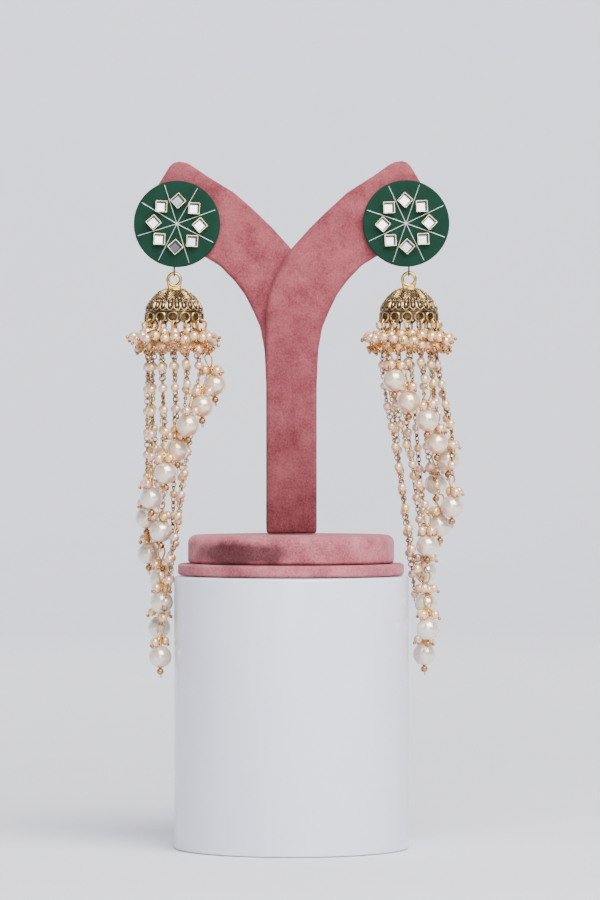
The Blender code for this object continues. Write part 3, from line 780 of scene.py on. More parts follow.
def make_tier(name, node, top_edge):
    """A board wrapped in velvet, with a soft top edge and a slightly uneven side."""
    low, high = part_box(node)
    radius = (high.x - low.x) / 2
    side = []
    for k in range(1, TIER_SIDE_ROWS):
        height = low.z + TIER_EDGE + (high.z - low.z - TIER_EDGE - top_edge) * k / TIER_SIDE_ROWS
        side.append((radius, height))
    rows = rounded(radius, low.z, TIER_EDGE) + side + rounded(radius, high.z, top_edge, 8, low=False)
    rows += [(radius * share, high.z) for share in TIER_TOP_ROWS if radius * share < rows[-1][0]]
    points, faces = turned(rows, TURNED_SIDES)
    for point in points:
        turn = math.atan2(point.y, point.x)
        swell = sum(size * math.sin(waves * turn + climb * point.z) for size, waves, climb in TIER_SWELLS)
        point.x += swell * math.cos(turn)
        point.y += swell * math.sin(turn)
    piece = make_piece(name, Pile(points, faces), "foot", "root", 60)
    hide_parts(node)


def make_band(name, node):
    """The band's solid, remeshed fine and rounded over as cloth on a card is."""
    rough = place_object(name, frame["nodes"][node].data.copy())
    remesh = rough.modifiers.new("fine", "REMESH")
    remesh.mode = "VOXEL"
    remesh.voxel_size = BAND_VOXEL
    soften = rough.modifiers.new("soften", "SMOOTH")
    soften.factor = 0.5
    soften.iterations = BAND_SMOOTHING
    fine = bpy.data.meshes.new_from_object(rough.evaluated_get(bpy.context.evaluated_depsgraph_get()))
    bpy.data.objects.remove(rough)
    piece = dress_mesh(name, fine, "band", "root", 80)
    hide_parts(node)


# Ear disc

def disc_place(side):
    """Centre of the disc's back and its radius and thickness."""
    low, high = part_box("ear_disc_" + side)
    return Vector(((low.x + high.x) / 2, high.y, (low.z + high.z) / 2)), (high.x - low.x) / 2, high.y - low.y


def face_turn(point):
    """Turns a point of a shape made facing +Z to face the front, at -Y."""
    return Vector((point.x, -point.z, point.y))


def make_disc(side):
    place, radius, thickness = disc_place(side)
    rows = rounded(radius, 0, DISC_EDGE, 4) + rounded(radius, thickness, DISC_EDGE, 5, low=False)
    rows += [(radius * share, thickness) for share in DISC_FACE_ROWS]
    points, faces = turned(rows, TURNED_SIDES)
    pile = Pile([place + face_turn(point) for point in points], faces)
    piece = make_piece("disc_felt_" + side, pile, "felt", "root", 60)
    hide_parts("ear_disc_" + side)


def make_threads(side):
    """Silver threads laid on the felt, from the disc's middle almost to its edge."""
    place, _, thickness = disc_place(side)
    front = place - Vector((0, thickness, 0))
    threads = Pile()
    for degrees in THREAD_TURNS[side]:
        turn = math.radians(degrees)
        outward = Vector((math.cos(turn), 0, math.sin(turn)))
        path = []
        for k in range(THREAD_STEPS + 1):
            reach = THREAD_START + (THREAD_END - THREAD_START) * k / THREAD_STEPS
            lift = THREAD_WIRE * (0.75 if 0 < k < THREAD_STEPS else -0.6)
            path.append(front + outward * reach - Vector((0, lift, 0)))
        add_wire(threads, path, THREAD_WIRE, 8)
    make_piece("disc_threads_" + side, threads, "thread", "root")


def square_ring(half, corner, height, steps=4):
    """Points round a square with rounded corners at one height."""
    made = []
    for k, (x, y) in enumerate(((1, 1), (-1, 1), (-1, -1), (1, -1))):
        for j in range(steps + 1):
            turn = math.pi / 2 * (k + j / steps)
            made.append(Vector((x * (half - corner) + corner * math.cos(turn),
                                y * (half - corner) + corner * math.sin(turn), height)))
    return made


def make_settings(side):
    """Box settings with their mirror stones let in below the rim, each a little askew, with painted shade on
    the inner walls of each box.
    """
    place, _, thickness = disc_place(side)
    dice = random.Random(STONE_COUNT + SIDES[side])
    boxes, stones = Pile(), Pile()
    half, corner, bevel = SETTING_WIDTH / 2, SETTING_CORNER, SETTING_BEVEL
    inner = half - SETTING_WALL
    table = SETTING_HEIGHT - MIRROR_DEPTH
    painted_reflections, hollow = [], []
    for number in range(STONE_COUNT):
        turn = STONE_TURN[side] + math.tau * number / STONE_COUNT
        spin = Matrix.Rotation(turn + math.pi / 4, 3, "Z")
        middle = around(STONE_CIRCLE, turn, thickness + 0.0001)

        def seat(point):
            return place + face_turn(middle + spin @ point)

        aside = spin.inverted() @ Vector((*STONE_SHIFT, 0))
        spare = inner - STONE_HALF
        aside = Vector((max(-spare, min(spare, aside.x)), max(-spare, min(spare, aside.y)), 0))
        rings = [square_ring(half, corner, 0), square_ring(half, corner, SETTING_HEIGHT - bevel),
                 square_ring(half - bevel, corner - bevel / 2, SETTING_HEIGHT),
                 square_ring(inner + bevel / 2, corner / 2, SETTING_HEIGHT),
                 square_ring(inner, corner / 2, SETTING_HEIGHT - bevel)]
        rings += [[point + aside for point in square_ring(STONE_HALF, corner / 2, height)]
                  for height in (table, table / 2)]
        add_rings(boxes, rings, seat)
        # The inner walls and the well round each stone are marked 1, where the hollow colour paints shade
        # into the recess.
        hollow += [0] * (len(rings[0]) * 4) + [1] * (len(rings[0]) * 3)
        tilt = (Matrix.Rotation(math.radians(dice.uniform(-STONE_TILT, STONE_TILT)), 3, "X")
                @ Matrix.Rotation(math.radians(dice.uniform(-STONE_TILT, STONE_TILT)), 3, "Y"))
        lift = aside + Vector((0, 0, table - 0.0001))
        edge = STONE_HALF - 0.00002
        rings = [square_ring(edge, corner / 2, -0.0003), square_ring(edge, corner / 2, 0),
                 square_ring(edge - 0.00013, corner / 3, 0.00006)]
        add_rings(stones, rings, lambda point: seat(tilt @ point + lift))
        # Each stone's points carry its painted reflection tone.
        painted_reflections += [STONE_PAINTED_REFLECTIONS[side][number]] * (len(stones.points) - len(painted_reflections))
    piece = make_piece("mirror_settings_" + side, boxes, "setting", "root", 30)
    mark_points(piece.data, "hollow", hollow)
    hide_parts(*[f"setting_{side}_{number}" for number in range(1, STONE_COUNT + 1)])
    piece = make_piece("mirror_stones_" + side, stones, "mirror", "root", 5)
    mark_points(piece.data, "tone", painted_reflections)


def make_hanger(side):
    """Wire loop behind the disc, soldered to a small plate that the disc hides."""
    low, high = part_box("hanger_loop_" + side)
    place, radius, _ = disc_place(side)
    disc_foot = place.z - radius
    foot = low.z + LOOP_SEAT
    reach = (disc_foot + LOOP_TUCK - foot) / 2 - LOOP_WIRE
    middle = Vector(((low.x + high.x) / 2, (low.y + high.y) / 2, foot + LOOP_WIRE + reach))
    pile = Pile()
    add_loop(pile, oval(reach, LOOP_WIDTH, 32), LOOP_WIRE, middle, UP, Vector((0, 1, 0)), 12)
    half_width = (high.x - low.x) / 2
    bottom = disc_foot + PLATE_TUCK
    thin = (high.y - low.y) / 2 * 0.25
    rings = [[Vector((point.x * share, point.y * share, level * thin)) for point in square_ring(1, 0.35, 0)]
             for level, share in PLATE_ROWS]
    spot = Vector((middle.x, middle.y, (bottom + high.z) / 2))
    rise = (high.z - bottom) / 2
    add_rings(pile, rings, lambda p: spot + Vector((p.x * half_width, p.z, p.y * rise)))
    piece = make_piece("hanger_wire_" + side, pile, "hanger", "root")
    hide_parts("hanger_loop_" + side)


def make_post(side):
    """Ear post and its round clutch behind the arm."""
    low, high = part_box("ear_post_" + side)
    radius = (high.x - low.x) / 2
    length = high.y - low.y
    start = length - POST_END - CLUTCH_LENGTH
    end = start + CLUTCH_LENGTH
    rows = [(POST_RADIUS, 0), (POST_RADIUS, start)] + rounded(radius * 0.8, start, 0.0003, 4)
    rows += [(radius * 0.8, start + CLUTCH_LENGTH * 0.35), (radius, start + CLUTCH_LENGTH * 0.5)]
    rows += rounded(radius, end, 0.0006, 5, low=False)
    rows += [(POST_RADIUS * 1.8, end), (POST_RADIUS, end), (POST_RADIUS, length - POST_RADIUS)]
    rows += rounded(POST_RADIUS, length, POST_RADIUS * 0.8, 4, low=False)
    points, faces = turned(rows, 48)
    place = Vector(((low.x + high.x) / 2, low.y, (low.z + high.z) / 2))
    pile = Pile([place + Vector((point.x, point.z, point.y)) for point in points], faces)
    piece = make_piece("post_clutch_" + side, pile, "steel", "root")
    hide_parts("ear_post_" + side)


# Bell

def hole_direction(side, hole):
    angle = HOLE_TURN[side] + math.tau * (hole - 1) / HOLE_COUNT
    return Vector((-SIDES[side] * math.cos(angle), -math.sin(angle), 0))


def ridge(distance, width):
    """A rounded ridge, 1 on its line and 0 well away from it."""
    return np.exp(-((distance / width) ** 2))


def within(distance, softness):
    """1 well inside an edge and 0 well outside it, with a soft step between."""
    return 1 / (1 + np.exp(distance / softness))


def dome_relief(turn, rise):
    """Raised share of the cast relief, 0 to 1, at a turn round the bell and a rise above its rim."""
    cell = math.tau * BELL_RADIUS / ARCH_COUNT
    across = (np.mod(turn / math.tau * ARCH_COUNT, 1.0) - 0.5) * cell
    up = rise - ARCH_CENTRE
    curve = np.where(up < 0, np.abs(np.hypot(across, up) - ARCH_RADIUS), np.abs(np.abs(across) - ARCH_RADIUS))
    drop = np.hypot(across / DROP_WIDTH, (rise - DROP_CENTRE) / DROP_REACH)
    arches = np.maximum(ridge(curve, RELIEF_LINE), within(drop - 1, 0.14))
    arches *= within(rise - ARCH_TOP, 0.00008)
    curls = ridge(np.abs(np.hypot(across, rise - CURL_RISE) - CURL_RADIUS), RELIEF_LINE)
    shifted = (np.mod(turn / math.tau * ARCH_COUNT + 0.5, 1.0) - 0.5) * cell
    curls = np.maximum(curls, ridge(np.hypot(shifted, rise - CURL_RISE), CURL_DOT))
    sway = np.abs(np.mod(turn / math.tau * LEAF_COUNT, 1.0) - 0.5)
    slant = rise / LEAF_PITCH - sway * LEAF_SLANT
    ribs = np.clip(0.5 + 0.8 * np.cos(math.tau * slant), 0, 1)
    girth = math.tau * BELL_RADIUS / LEAF_COUNT * 0.8
    spine = ridge(sway * girth, LEAF_SPINE)
    border = ridge((0.5 - sway) * girth, LEAF_BORDER)
    leaves = np.maximum(np.maximum(0.9 * ribs, spine), border)
    leaves *= within(LEAF_START - rise, 0.00007)
    rim = ridge(rise - 0.00010, 0.00020)
    return np.clip(np.maximum(np.maximum(arches, curls), np.maximum(leaves, rim)), 0, 1)


def make_dome(side, crown):
    """The bell's cast dome as one closed shell: outside with its relief, inside smooth and darkened with
    painted shade.
    """
    shape = [Vector((radius * BELL_RADIUS, 0, -depth * BELL_HEIGHT)) for radius, depth in DOME_PROFILE]
    outside = smooth_curve(shape, DOME_STEP)
    lengths = np.array(run_lengths(outside))
    rises = lengths[-1] - lengths - RIM_RISE
    turns = np.arange(DOME_COLUMNS) * math.tau / DOME_COLUMNS
    relief = dome_relief(turns[None, :], rises[:, None])
    calm = np.clip((lengths - RIM_RISE) / 0.0008, 0, 1) * np.clip(rises / 0.0002 + 1.5, 0, 1)
    relief = relief * calm[:, None]
    points, hollow = [], []
    for i, spot in enumerate(outside):
        before, after = outside[max(i - 1, 0)], outside[min(i + 1, len(outside) - 1)]
        along = (after - before).normalized()
        for k, turn in enumerate(turns):
            lift = (relief[i, k] - 0.75) * RELIEF_HEIGHT
            points.append(around(spot.x - along.z * lift, turn, spot.z + along.x * lift))
            hollow.append(1 - relief[i, k])
    rim = outside[-1].z
    inside = [(LINING_RADIUS, rim - 0.00006)]
    inside += [(LINING_RADIUS, rim - LINING_DROP * k / 4) for k in range(1, 5)]
    inside += [(LINING_RADIUS - LINING_WALL, rim - LINING_DROP), (LINING_RADIUS - LINING_WALL, rim + 0.0004)]
    inside += [(max(spot.x - BELL_WALL, 0.0008), min(spot.z, -0.0009) - 0.0001)
               for spot in outside[::-6] if spot.z > rim + 0.0006]
    points += [around(row.x, turn, row.y) for row in map(Vector, inside) for turn in turns]
    # The inside, lining included, is marked 0.6, which paints shade inside the bell.
    hollow += [0.6] * (len(inside) * DOME_COLUMNS)
    pile = Pile([crown + point for point in points], row_faces(len(outside) + len(inside), DOME_COLUMNS))
    piece = make_piece("bell_dome_" + side, pile, "bell", DROPS[side], 70)
    mark_points(piece.data, "hollow", hollow)
    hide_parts("bell_" + side)


def skirt_edge(turn):
    """Distance from a hole's centre to the edge of its cell: straight sides and top, a scallop below."""
    run, rise = math.cos(turn), math.sin(turn)
    reach = HALF_CELL / max(abs(run), 1e-6)
    if rise > 0:
        return min(reach, SKIRT_TOP / rise)
    scallop = HOLE_RADIUS + HOLE_LIP
    web = WEB_CORNER / max(-rise, 1e-6)
    return min(reach, max(web, scallop)) if web > reach else scallop


def cell_reach(share, turn):
    """Distance from a hole's centre to a row of its cell: across the lip, then on to the cell's edge."""
    edge = skirt_edge(turn)
    if share <= LIP_SHARE:
        return min(HOLE_RADIUS + HOLE_LIP * share / LIP_SHARE, edge)
    base = min(HOLE_RADIUS + HOLE_LIP, edge)
    return base + (edge - base) * (share - LIP_SHARE) / (1 - LIP_SHARE)


def make_skirt(side, crown):
    """Fourteen holed cells with raised lips, scalloped below, each bent to the bell's round."""
    low_corner = math.atan2(-WEB_CORNER, HALF_CELL)
    high_corner = math.atan2(SKIRT_TOP, HALF_CELL)
    turns = sorted({turn - math.pi for turn in circle_turns(HOLE_SIDES)}
                   | {low_corner, -math.pi - low_corner, high_corner, math.pi - high_corner})
    on_side = [abs(abs(skirt_edge(turn) * math.cos(turn)) - HALF_CELL) < 1e-6 for turn in turns]
    count, last = len(turns), len(LIP_ROWS) - 1
    points, faces, hollow = [], [], []
    for hole in range(1, HOLE_COUNT + 1):
        outward = hole_direction(side, hole)
        middle = math.atan2(outward.y, outward.x)
        start = len(points)
        for front in (True, False):
            for share, lift, mark in LIP_ROWS:
                for turn in turns:
                    reach = cell_reach(share, turn)
                    radius = SKIRT_CIRCLE + lift if front else SKIRT_CIRCLE - BELL_WALL
                    angle = middle + reach * math.cos(turn) / SKIRT_CIRCLE
                    height = CROWN_DROP - HOLE_DROP + reach * math.sin(turn)
                    points.append(crown + around(radius, angle, height))
                    # The skirt's inner face is marked 0.45, which paints shade inside the bell.
                    hollow.append(mark if front else 0.45)

        def at(layer, row, k):
            return start + (layer * len(LIP_ROWS) + row) * count + k % count

        for k in range(count):
            for row in range(last):
                faces.append((at(0, row, k), at(0, row, k + 1), at(0, row + 1, k + 1), at(0, row + 1, k)))
                faces.append((at(1, row, k), at(1, row + 1, k), at(1, row + 1, k + 1), at(1, row, k + 1)))
            faces.append((at(0, 0, k), at(1, 0, k), at(1, 0, k + 1), at(0, 0, k + 1)))
            if not (on_side[k] and on_side[(k + 1) % count]):
                faces.append((at(0, last, k), at(0, last, k + 1), at(1, last, k + 1), at(1, last, k)))
    mesh = bpy.data.meshes.new("skirt")
    mesh.from_pydata(points, [], faces)
    mark_points(mesh, "hollow", hollow)
    shape = bmesh.new()
    shape.from_mesh(mesh)
    bmesh.ops.remove_doubles(shape, verts=shape.verts, dist=0.00002)
    shape.to_mesh(mesh)
    shape.free()
    dress_mesh("bell_skirt_" + side, mesh, "bell", DROPS[side], 60)


def make_crown(side, axis):
    """Ring on top of the bell, whose sides run down into a flat shoulder that stands on the crown."""
    middle = axis - UP * RING_RADIUS
    crown = axis - UP * CROWN_DROP
    pile = Pile()
    add_loop(pile, oval(RING_RADIUS, RING_RADIUS, 48), RING_WIRE, middle, UP, RIGHT, 14)
    floor = crown.z - middle.z - 0.0004
    edge = RING_RADIUS + RING_WIRE * 0.9
    foot = edge * 0.93
    outline = smooth_curve([Vector((x, 0, z)) for x, z in (
        (edge, 0), (edge * 0.95, floor * 0.4), (edge * 0.84, floor * 0.72), (foot, floor))], 0.0004)
    one_side = list(outline)
    outline += [Vector((foot * (1 - 2 * k / RING_FLOOR_STEPS), 0, floor)) for k in range(1, RING_FLOOR_STEPS)]
    outline += [Vector((-point.x, 0, point.z)) for point in one_side[::-1]]
    sections = []
    for k, outer in enumerate(outline):
        turn = math.pi * k / (len(outline) - 1)
        inner = Vector((RING_RADIUS * math.cos(turn), 0, -RING_RADIUS * math.sin(turn)))
        front = [middle + inner.lerp(outer, share) - Vector((0, thick, 0))
                 for share, thick in RING_SECTION]
        back = [middle + inner.lerp(outer, share) + Vector((0, thick, 0))
                for share, thick in RING_SECTION[::-1]]
        sections.append(front + back)
    add_rings(pile, sections, lambda point: point)
    points, faces = turned(CROWN_PLATE, 48)
    pile.add([crown + point for point in points], faces)
    make_piece("bell_ring_" + side, pile, "ring", DROPS[side], 60)


# Pearls, pins and chains

def settle(items, fence, rounds=80):
    """Pushes the free ones of some beads apart until all clear one another and a round post at the origin.

    Each item is a bead's centre, its radius, and 1 if it is free or 0 if it is fixed.
    """
    spots = np.array([tuple(centre) for centre, _, _ in items])
    sizes = np.array([radius for _, radius, _ in items])
    loose = np.array([free for _, _, free in items], dtype=float)
    together = sizes[:, None] + sizes[None, :] + BEAD_CLEARANCE
    share = loose[:, None] / np.maximum(loose[:, None] + loose[None, :], 1)
    np.fill_diagonal(together, 0)
    fence_radius, fence_top = fence
    for _ in range(rounds):
        apart = spots[:, None, :] - spots[None, :, :]
        gaps = np.linalg.norm(apart, axis=2) + 1e-9
        push = np.clip(together - gaps, 0, None) * share * 0.6
        spots = spots + (apart / gaps[:, :, None] * push[:, :, None]).sum(axis=1)
        reach = np.hypot(spots[:, 0], spots[:, 1])
        short = np.clip(fence_radius + sizes + BEAD_CLEARANCE - reach, 0, None)
        short = short * (spots[:, 2] - sizes < fence_top) * loose
        spots[:, 0] += spots[:, 0] / reach * short
        spots[:, 1] += spots[:, 1] / reach * short
    return [Vector(spot) for spot in spots]


def sample_path(path, first, pitch):
    """Places along a path, evenly spaced from its first bead to its last; none where two don't fit."""
    lengths = run_lengths(path)
    last = lengths[-1] - LAST_PEARL
    count = max(1, round((last - first) / pitch) + 1)
    if count == 1:
        return []
    made = []
    for k in range(count):
        reach = first + k * ((last - first) / (count - 1))
        row = next((i for i in range(1, len(lengths)) if lengths[i] >= reach), len(lengths) - 1)
        share = (reach - lengths[row - 1]) / max(lengths[row] - lengths[row - 1], 1e-9)
        made.append(path[row - 1].lerp(path[row], share))
    return made


def add_run(pile, start, end, turn):
    """Chain from one point to the next: round links joined by small eyes, each a quarter turn on."""
    way = end - start
    along = way.normalized()
    side = along.orthogonal().normalized()
    cell = EYE_LENGTH + LINK_LENGTH - 2 * LINK_OVERLAP
    lengths = [EYE_LENGTH]
    for _ in range(round((way.length - EYE_LENGTH) / cell)):
        lengths += [LINK_LENGTH, EYE_LENGTH]
    scale = (way.length + LINK_OVERLAP * (len(lengths) - 1)) / sum(lengths)
    here = 0
    for k, length in enumerate(lengths):
        half = length * scale / 2
        width = LINK_WIDTH if k % 2 else EYE_WIDTH
        spin = Matrix.Rotation(turn + k * math.pi / 2, 3, along)
        outline = oval(max(half, 3 * LINK_WIRE) - LINK_WIRE, width - LINK_WIRE)
        add_loop(pile, outline, LINK_WIRE, start + along * (here + half), along, spin @ side, 6)
        here += 2 * half - LINK_OVERLAP
    return turn + len(lengths) * math.pi / 2


def add_collar(pile, spot, along, radius=COLLAR_RADIUS, wire=COLLAR_WIRE, turns=1):
    """Turns of wire wrapped round a pin."""
    side = along.orthogonal().normalized()
    across = along.cross(side)
    for k in range(turns):
        add_loop(pile, oval(radius, radius, 10), wire, spot + along * (k * 1.9 * wire), side, across, 5)


def add_pin(piles, centre, radius, outward):
    """Head pin through a bead: a wrapped collar at its near end and a round tip at its far end."""
    add_collar(piles["loop_wires"], centre - outward * (radius + 0.00008), outward)
    add_ball(piles["pin_tips"], "tip", centre + outward * (radius + PIN_BALL * 0.75), PIN_BALL, outward)
    add_collar(piles["pin_tips"], centre + outward * (radius - 0.00002), outward, *TIP_COLLAR)


def strand_layout(side, axis, hole, route, dice):
    """Where one strand's beads, loop, cluster and big pearl lie."""
    outward = hole_direction(side, hole)
    jump = axis + outward * HOLE_CIRCLE - UP * JUMP_DROP
    start = jump - UP * JUMP_RADIUS
    *bends, end = [axis + Vector((SIDES[side] * out, back, -drop)) for out, back, drop in route]
    below_ruff = Vector((start.x, start.y, axis.z - RUFF_DROP - RUFF_HEIGHT - CHAIN_RADIUS))
    top = end + UP * CLUSTER_TOP
    if top.z > below_ruff.z - CHAIN_RADIUS:
        top = end + (start - end).normalized() * CLUSTER_TOP
        path = smooth_curve([start, top], 0.002)
    else:
        path = [start] + smooth_curve([below_ruff, *bends, top], 0.002)
    lean = (top - end).normalized()
    spin = dice.uniform(0, math.tau)
    cluster = []
    for k in range(dice.choice((3, 4))):
        side_way = around(1, spin + math.tau * k / 4 + dice.uniform(-0.25, 0.25))
        height = CLUSTER_HEIGHT + dice.uniform(-0.0004, 0.0005)
        cluster.append(end + lean * height + side_way * CLUSTER_CIRCLE)
    beads = sample_path(path, FIRST_PEARL + dice.uniform(0, 0.0012), PEARL_PITCH)
    return {"jump": jump, "outward": outward, "start": start, "end": end, "top": top,
            "lean": lean, "cluster": cluster, "beads": beads, "spin": spin}


def ruff_layout(axis, dice):
    """Centres and directions of the ruff's pearls, row by row."""
    made = []
    for number, row in enumerate(RUFF_ROWS):
        for k in range(row["pearls"]):
            level = around(1, math.tau * (k + number / 2 + dice.uniform(-0.2, 0.2)) / row["pearls"])
            circle = row["circle"] + dice.uniform(-0.0008, 0.0005)
            dip = row["dip"] + dice.uniform(-0.45, 0.45)
            centre = axis + level * circle - UP * (row["drop"] + dice.uniform(-0.0010, 0.0008))
            made.append({"centre": centre, "outward": level * math.cos(dip) - UP * math.sin(dip)})
    return made


def settle_tassel(strands, ruff):
    """Moves the small pearls of a tassel until they clear its other beads, its loops and the stand's foot."""
    plinth_low, plinth_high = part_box("plinth")
    tier_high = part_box("stand_base_lower")[1]
    items = []
    for strand in strands:
        end, lean = strand["end"], strand["lean"]
        items += [(spot, SMALL_PEARL, 1) for spot in strand["beads"]]
        items += [(spot, CLUSTER_PEARL, 1) for spot in strand["cluster"]]
        items += [(end + lean * (TEAR_FOOT + share * TEAR_LENGTH), LOOP_SPACE, 0) for share in (0.25, 0.7)]
        items += [(end, BIG_PEARL, 0), (end - UP * BALL_DROP, BALL_RADIUS, 0)]
    items += [(item["centre"], RUFF_PEARL, 1) for item in ruff]
    settled = settle(items, ((plinth_high.x - plinth_low.x) / 2, tier_high.z))
    free = iter([spot for spot, item in zip(settled, items) if item[2]])
    for strand in strands:
        strand["beads"] = [next(free) for _ in strand["beads"]]
        strand["cluster"] = [next(free) for _ in strand["cluster"]]
    for item in ruff:
        item["centre"] = next(free)


def make_tassel(side):
    """Jump rings, strands and ruff that hang from one bell."""
    body = DROPS[side]
    axis = SWING_AXES[body]
    dice = random.Random(17 + SIDES[side])
    strands = [strand_layout(side, axis, hole, route, dice) for hole, *route in STRAND_ROUTES[side]]
    ruff = ruff_layout(axis, dice)
    settle_tassel(strands, ruff)
    piles = {label: Pile() for label, _, _ in TASSEL_PIECES}
    for strand in strands:
        add_strand(piles, strand, dice)
    for item in ruff:
        centre, outward = item["centre"], item["outward"]
        anchor = axis + (centre - axis) * Vector((0.72, 0.72, 0)) - UP * (RUFF_DROP - 0.0006)
        add_run(piles["loop_wires"], anchor, centre - outward * RUFF_PEARL, dice.uniform(0, 3))
        add_pin(piles, centre, RUFF_PEARL, outward)
        add_ball(piles["seed_pearls"], "small", centre, RUFF_PEARL, outward, dice.uniform(0.93, 1.06))
    for k in range(RUFF_TAILS):
        level = around(1, math.tau * (k + dice.uniform(-0.4, 0.4)) / RUFF_TAILS)
        dip = dice.uniform(0.5, 1.3)
        outward = level * math.cos(dip) - UP * math.sin(dip)
        start = axis + level * (TAIL_CIRCLE + dice.uniform(-0.0014, 0.0006))
        start -= UP * (TAIL_DROP - dice.uniform(0, 0.0020))
        add_run(piles["loop_wires"], start, start + outward * EYE_LENGTH, dice.uniform(0, 3))
        add_ball(piles["pin_tips"], "tip", start + outward * (EYE_LENGTH + PIN_BALL * 0.8), PIN_BALL, outward)
    pieces = {label: make_piece(f"{label}_{side}", piles[label], material, body)
              for label, material, slot in TASSEL_PIECES}
    names = [f"strand_{side}_{number:02d}" for number in range(1, len(strands) + 1)]
    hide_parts(*names)
    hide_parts("ruff_" + side)


def add_strand(piles, strand, dice):
    """Jump ring, chain and small pearls of one strand, down to its teardrop loop."""
    chain, beads = piles["chain_links"], strand["beads"]
    askew = Matrix.Rotation(dice.uniform(-0.5, 0.5), 3, "Z")
    add_loop(piles["jump_rings"], oval(JUMP_RADIUS, JUMP_RADIUS, 32), JUMP_WIRE, strand["jump"], UP,
             askew @ strand["outward"], 10)
    turn = strand["spin"]
    here = strand["start"] + UP * (JUMP_WIRE + 2 * LINK_WIRE)
    for spot in beads:
        toward = (spot - here).normalized()
        turn = add_run(chain, here, spot - toward * SMALL_PEARL, turn)
        here = spot
        add_collar(chain, spot - toward * (SMALL_PEARL + 0.00005), toward)
    stops = [strand["start"], *beads, strand["top"]]
    for before, spot, after in zip(stops, beads, stops[2:]):
        add_ball(piles["seed_pearls"], "small", spot, SMALL_PEARL, (before - after).normalized(),
                 dice.uniform(0.93, 1.04))
    add_tail(piles, strand, here, turn, dice)


def add_tail(piles, strand, here, turn, dice):
    """Teardrop loop, cluster, big pearl, ball and wire curl at a strand's foot."""
    chain, fittings = piles["chain_links"], piles["loop_wires"]
    end, lean = strand["end"], strand["lean"]
    loop_top = end + lean * CLUSTER_TOP
    toward = (loop_top - here).normalized()
    begin = here + toward * (SMALL_PEARL if strand["beads"] else 0)
    add_run(chain, begin, loop_top + toward * (2 * TEAR_WIRE), turn)
    if strand["beads"]:
        add_collar(chain, begin + toward * 0.00005, toward)
    level = (RIGHT - lean * lean.x).normalized()
    side_way = Matrix.Rotation(dice.uniform(-0.85, 0.85), 3, lean) @ level
    tear_middle = end + lean * (TEAR_FOOT + TEAR_LENGTH / 2)
    add_loop(fittings, teardrop(TEAR_LENGTH, TEAR_WIDTH), TEAR_WIRE, tear_middle, lean, side_way, 8)
    add_wire(fittings, [end + lean * BIG_PEARL, end + lean * (TEAR_FOOT + TEAR_WIRE)], NECK_WIRE, 8)
    add_collar(fittings, end + lean * (BIG_PEARL + 0.0001), lean, *NECK_COLLAR)
    neck = end + lean * (TEAR_FOOT + 0.0003)
    for spot in strand["cluster"]:
        outward = ((spot - neck).normalized() - UP * 0.35).normalized()
        add_run(fittings, neck, spot - outward * CLUSTER_PEARL, dice.uniform(0, 3))
        add_pin(piles, spot, CLUSTER_PEARL, outward)
        add_ball(piles["cluster_pearls"], "small", spot, CLUSTER_PEARL, outward, dice.uniform(0.96, 1.05))
    add_ball(piles["big_pearls"], "big", end, BIG_PEARL * 0.995, lean, dice.uniform(0.97, 1.0))
    foot = end - UP * BALL_DROP
    add_ball(piles["gold_balls"], "big", foot, BALL_RADIUS, UP, 0.96)
    add_collar(piles["gold_balls"], foot + UP * (BALL_RADIUS * 0.98), UP, *BALL_COLLAR)
    level = around(1, dice.uniform(0, math.tau))
    centre = foot - UP * (BALL_RADIUS + 0.00050)
    curl = []
    for k in range(CURL_STEPS + 1):
        wind = math.tau * CURL_TURNS * k / CURL_STEPS
        size = CURL_SIZE * (1 - 0.45 * k / CURL_STEPS)
        curl.append(centre + level * (size * math.sin(wind)) + UP * (size * math.cos(wind))
                    + level.cross(UP) * (0.0006 * k / CURL_STEPS))
    add_wire(fittings, curl, CURL_WIRE, 6)


# Studio

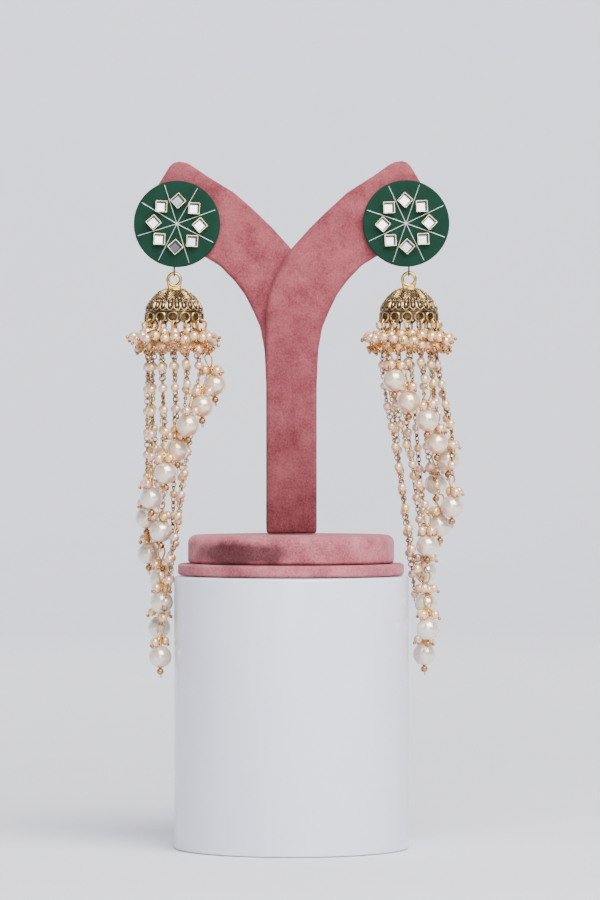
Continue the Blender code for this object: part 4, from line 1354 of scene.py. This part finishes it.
def make_floor():
    """A pale floor that curves up into a low wall all round, so the horizon never shows."""
    rows = [(0.02, 0), (1.0, 0), (FLOOR_RADIUS, 0)]
    for k in range(1, 17):
        turn = math.pi / 2 * k / 16
        rows.append((FLOOR_RADIUS + FLOOR_BEND * math.sin(turn), FLOOR_BEND - FLOOR_BEND * math.cos(turn)))
    rows.append((FLOOR_RADIUS + FLOOR_BEND, WALL_TOP))
    points, faces = turned(rows, 96)
    mesh = bpy.data.meshes.new("pale_floor")
    mesh.from_pydata([point - UP * FLOOR_SINK for point in points], [], faces[:-1])
    mesh.shade_smooth()
    mesh.materials.append(floor_paper())
    place_object("pale_floor", mesh)


def add_lamp(name, place, aim, width, height, watts, colour):
    lamp = bpy.data.lights.new(name, "AREA")
    lamp.shape = "RECTANGLE"
    lamp.size, lamp.size_y = width, height
    lamp.energy = watts
    lamp.color = colour
    made = place_object(name, lamp)
    made.location = place
    made.rotation_euler = (Vector(aim) - Vector(place)).to_track_quat("-Z", "Y").to_euler()


def make_studio():
    make_floor()
    for lamp in LAMPS:
        add_lamp(*lamp)
    world = bpy.data.worlds.new("studio")
    world.use_nodes = True
    backdrop = world.node_tree.nodes["Background"]
    backdrop.inputs["Color"].default_value = ROOM_COLOUR
    backdrop.inputs["Strength"].default_value = ROOM_STRENGTH
    bpy.context.scene.world = world
    data = bpy.data.cameras.new("camera")
    data.lens = CAMERA_LENS
    data.sensor_width = CAMERA_SENSOR
    data.sensor_height = CAMERA_SENSOR
    data.sensor_fit = "AUTO"
    camera = place_object("camera", data)
    camera.location = CAMERA_PLACE
    camera.rotation_euler = (math.pi / 2, 0, 0)
    bpy.context.scene.camera = camera


def main():
    make_studio()
    make_plinth()
    make_tier("foot_lower_velvet", "stand_base_lower", TIER_EDGE)
    make_tier("foot_upper_velvet", "stand_base_upper", TIER_CROWN)
    make_band("front_band_velvet", "stand_band_front")
    make_band("back_band_velvet", "stand_band_back")
    for side in SIDES:
        axis = SWING_AXES[DROPS[side]]
        crown = axis - UP * CROWN_DROP
        make_disc(side)
        make_threads(side)
        make_settings(side)
        make_post(side)
        make_hanger(side)
        make_crown(side, axis)
        make_dome(side, crown)
        make_skirt(side, crown)
        make_tassel(side)


main()
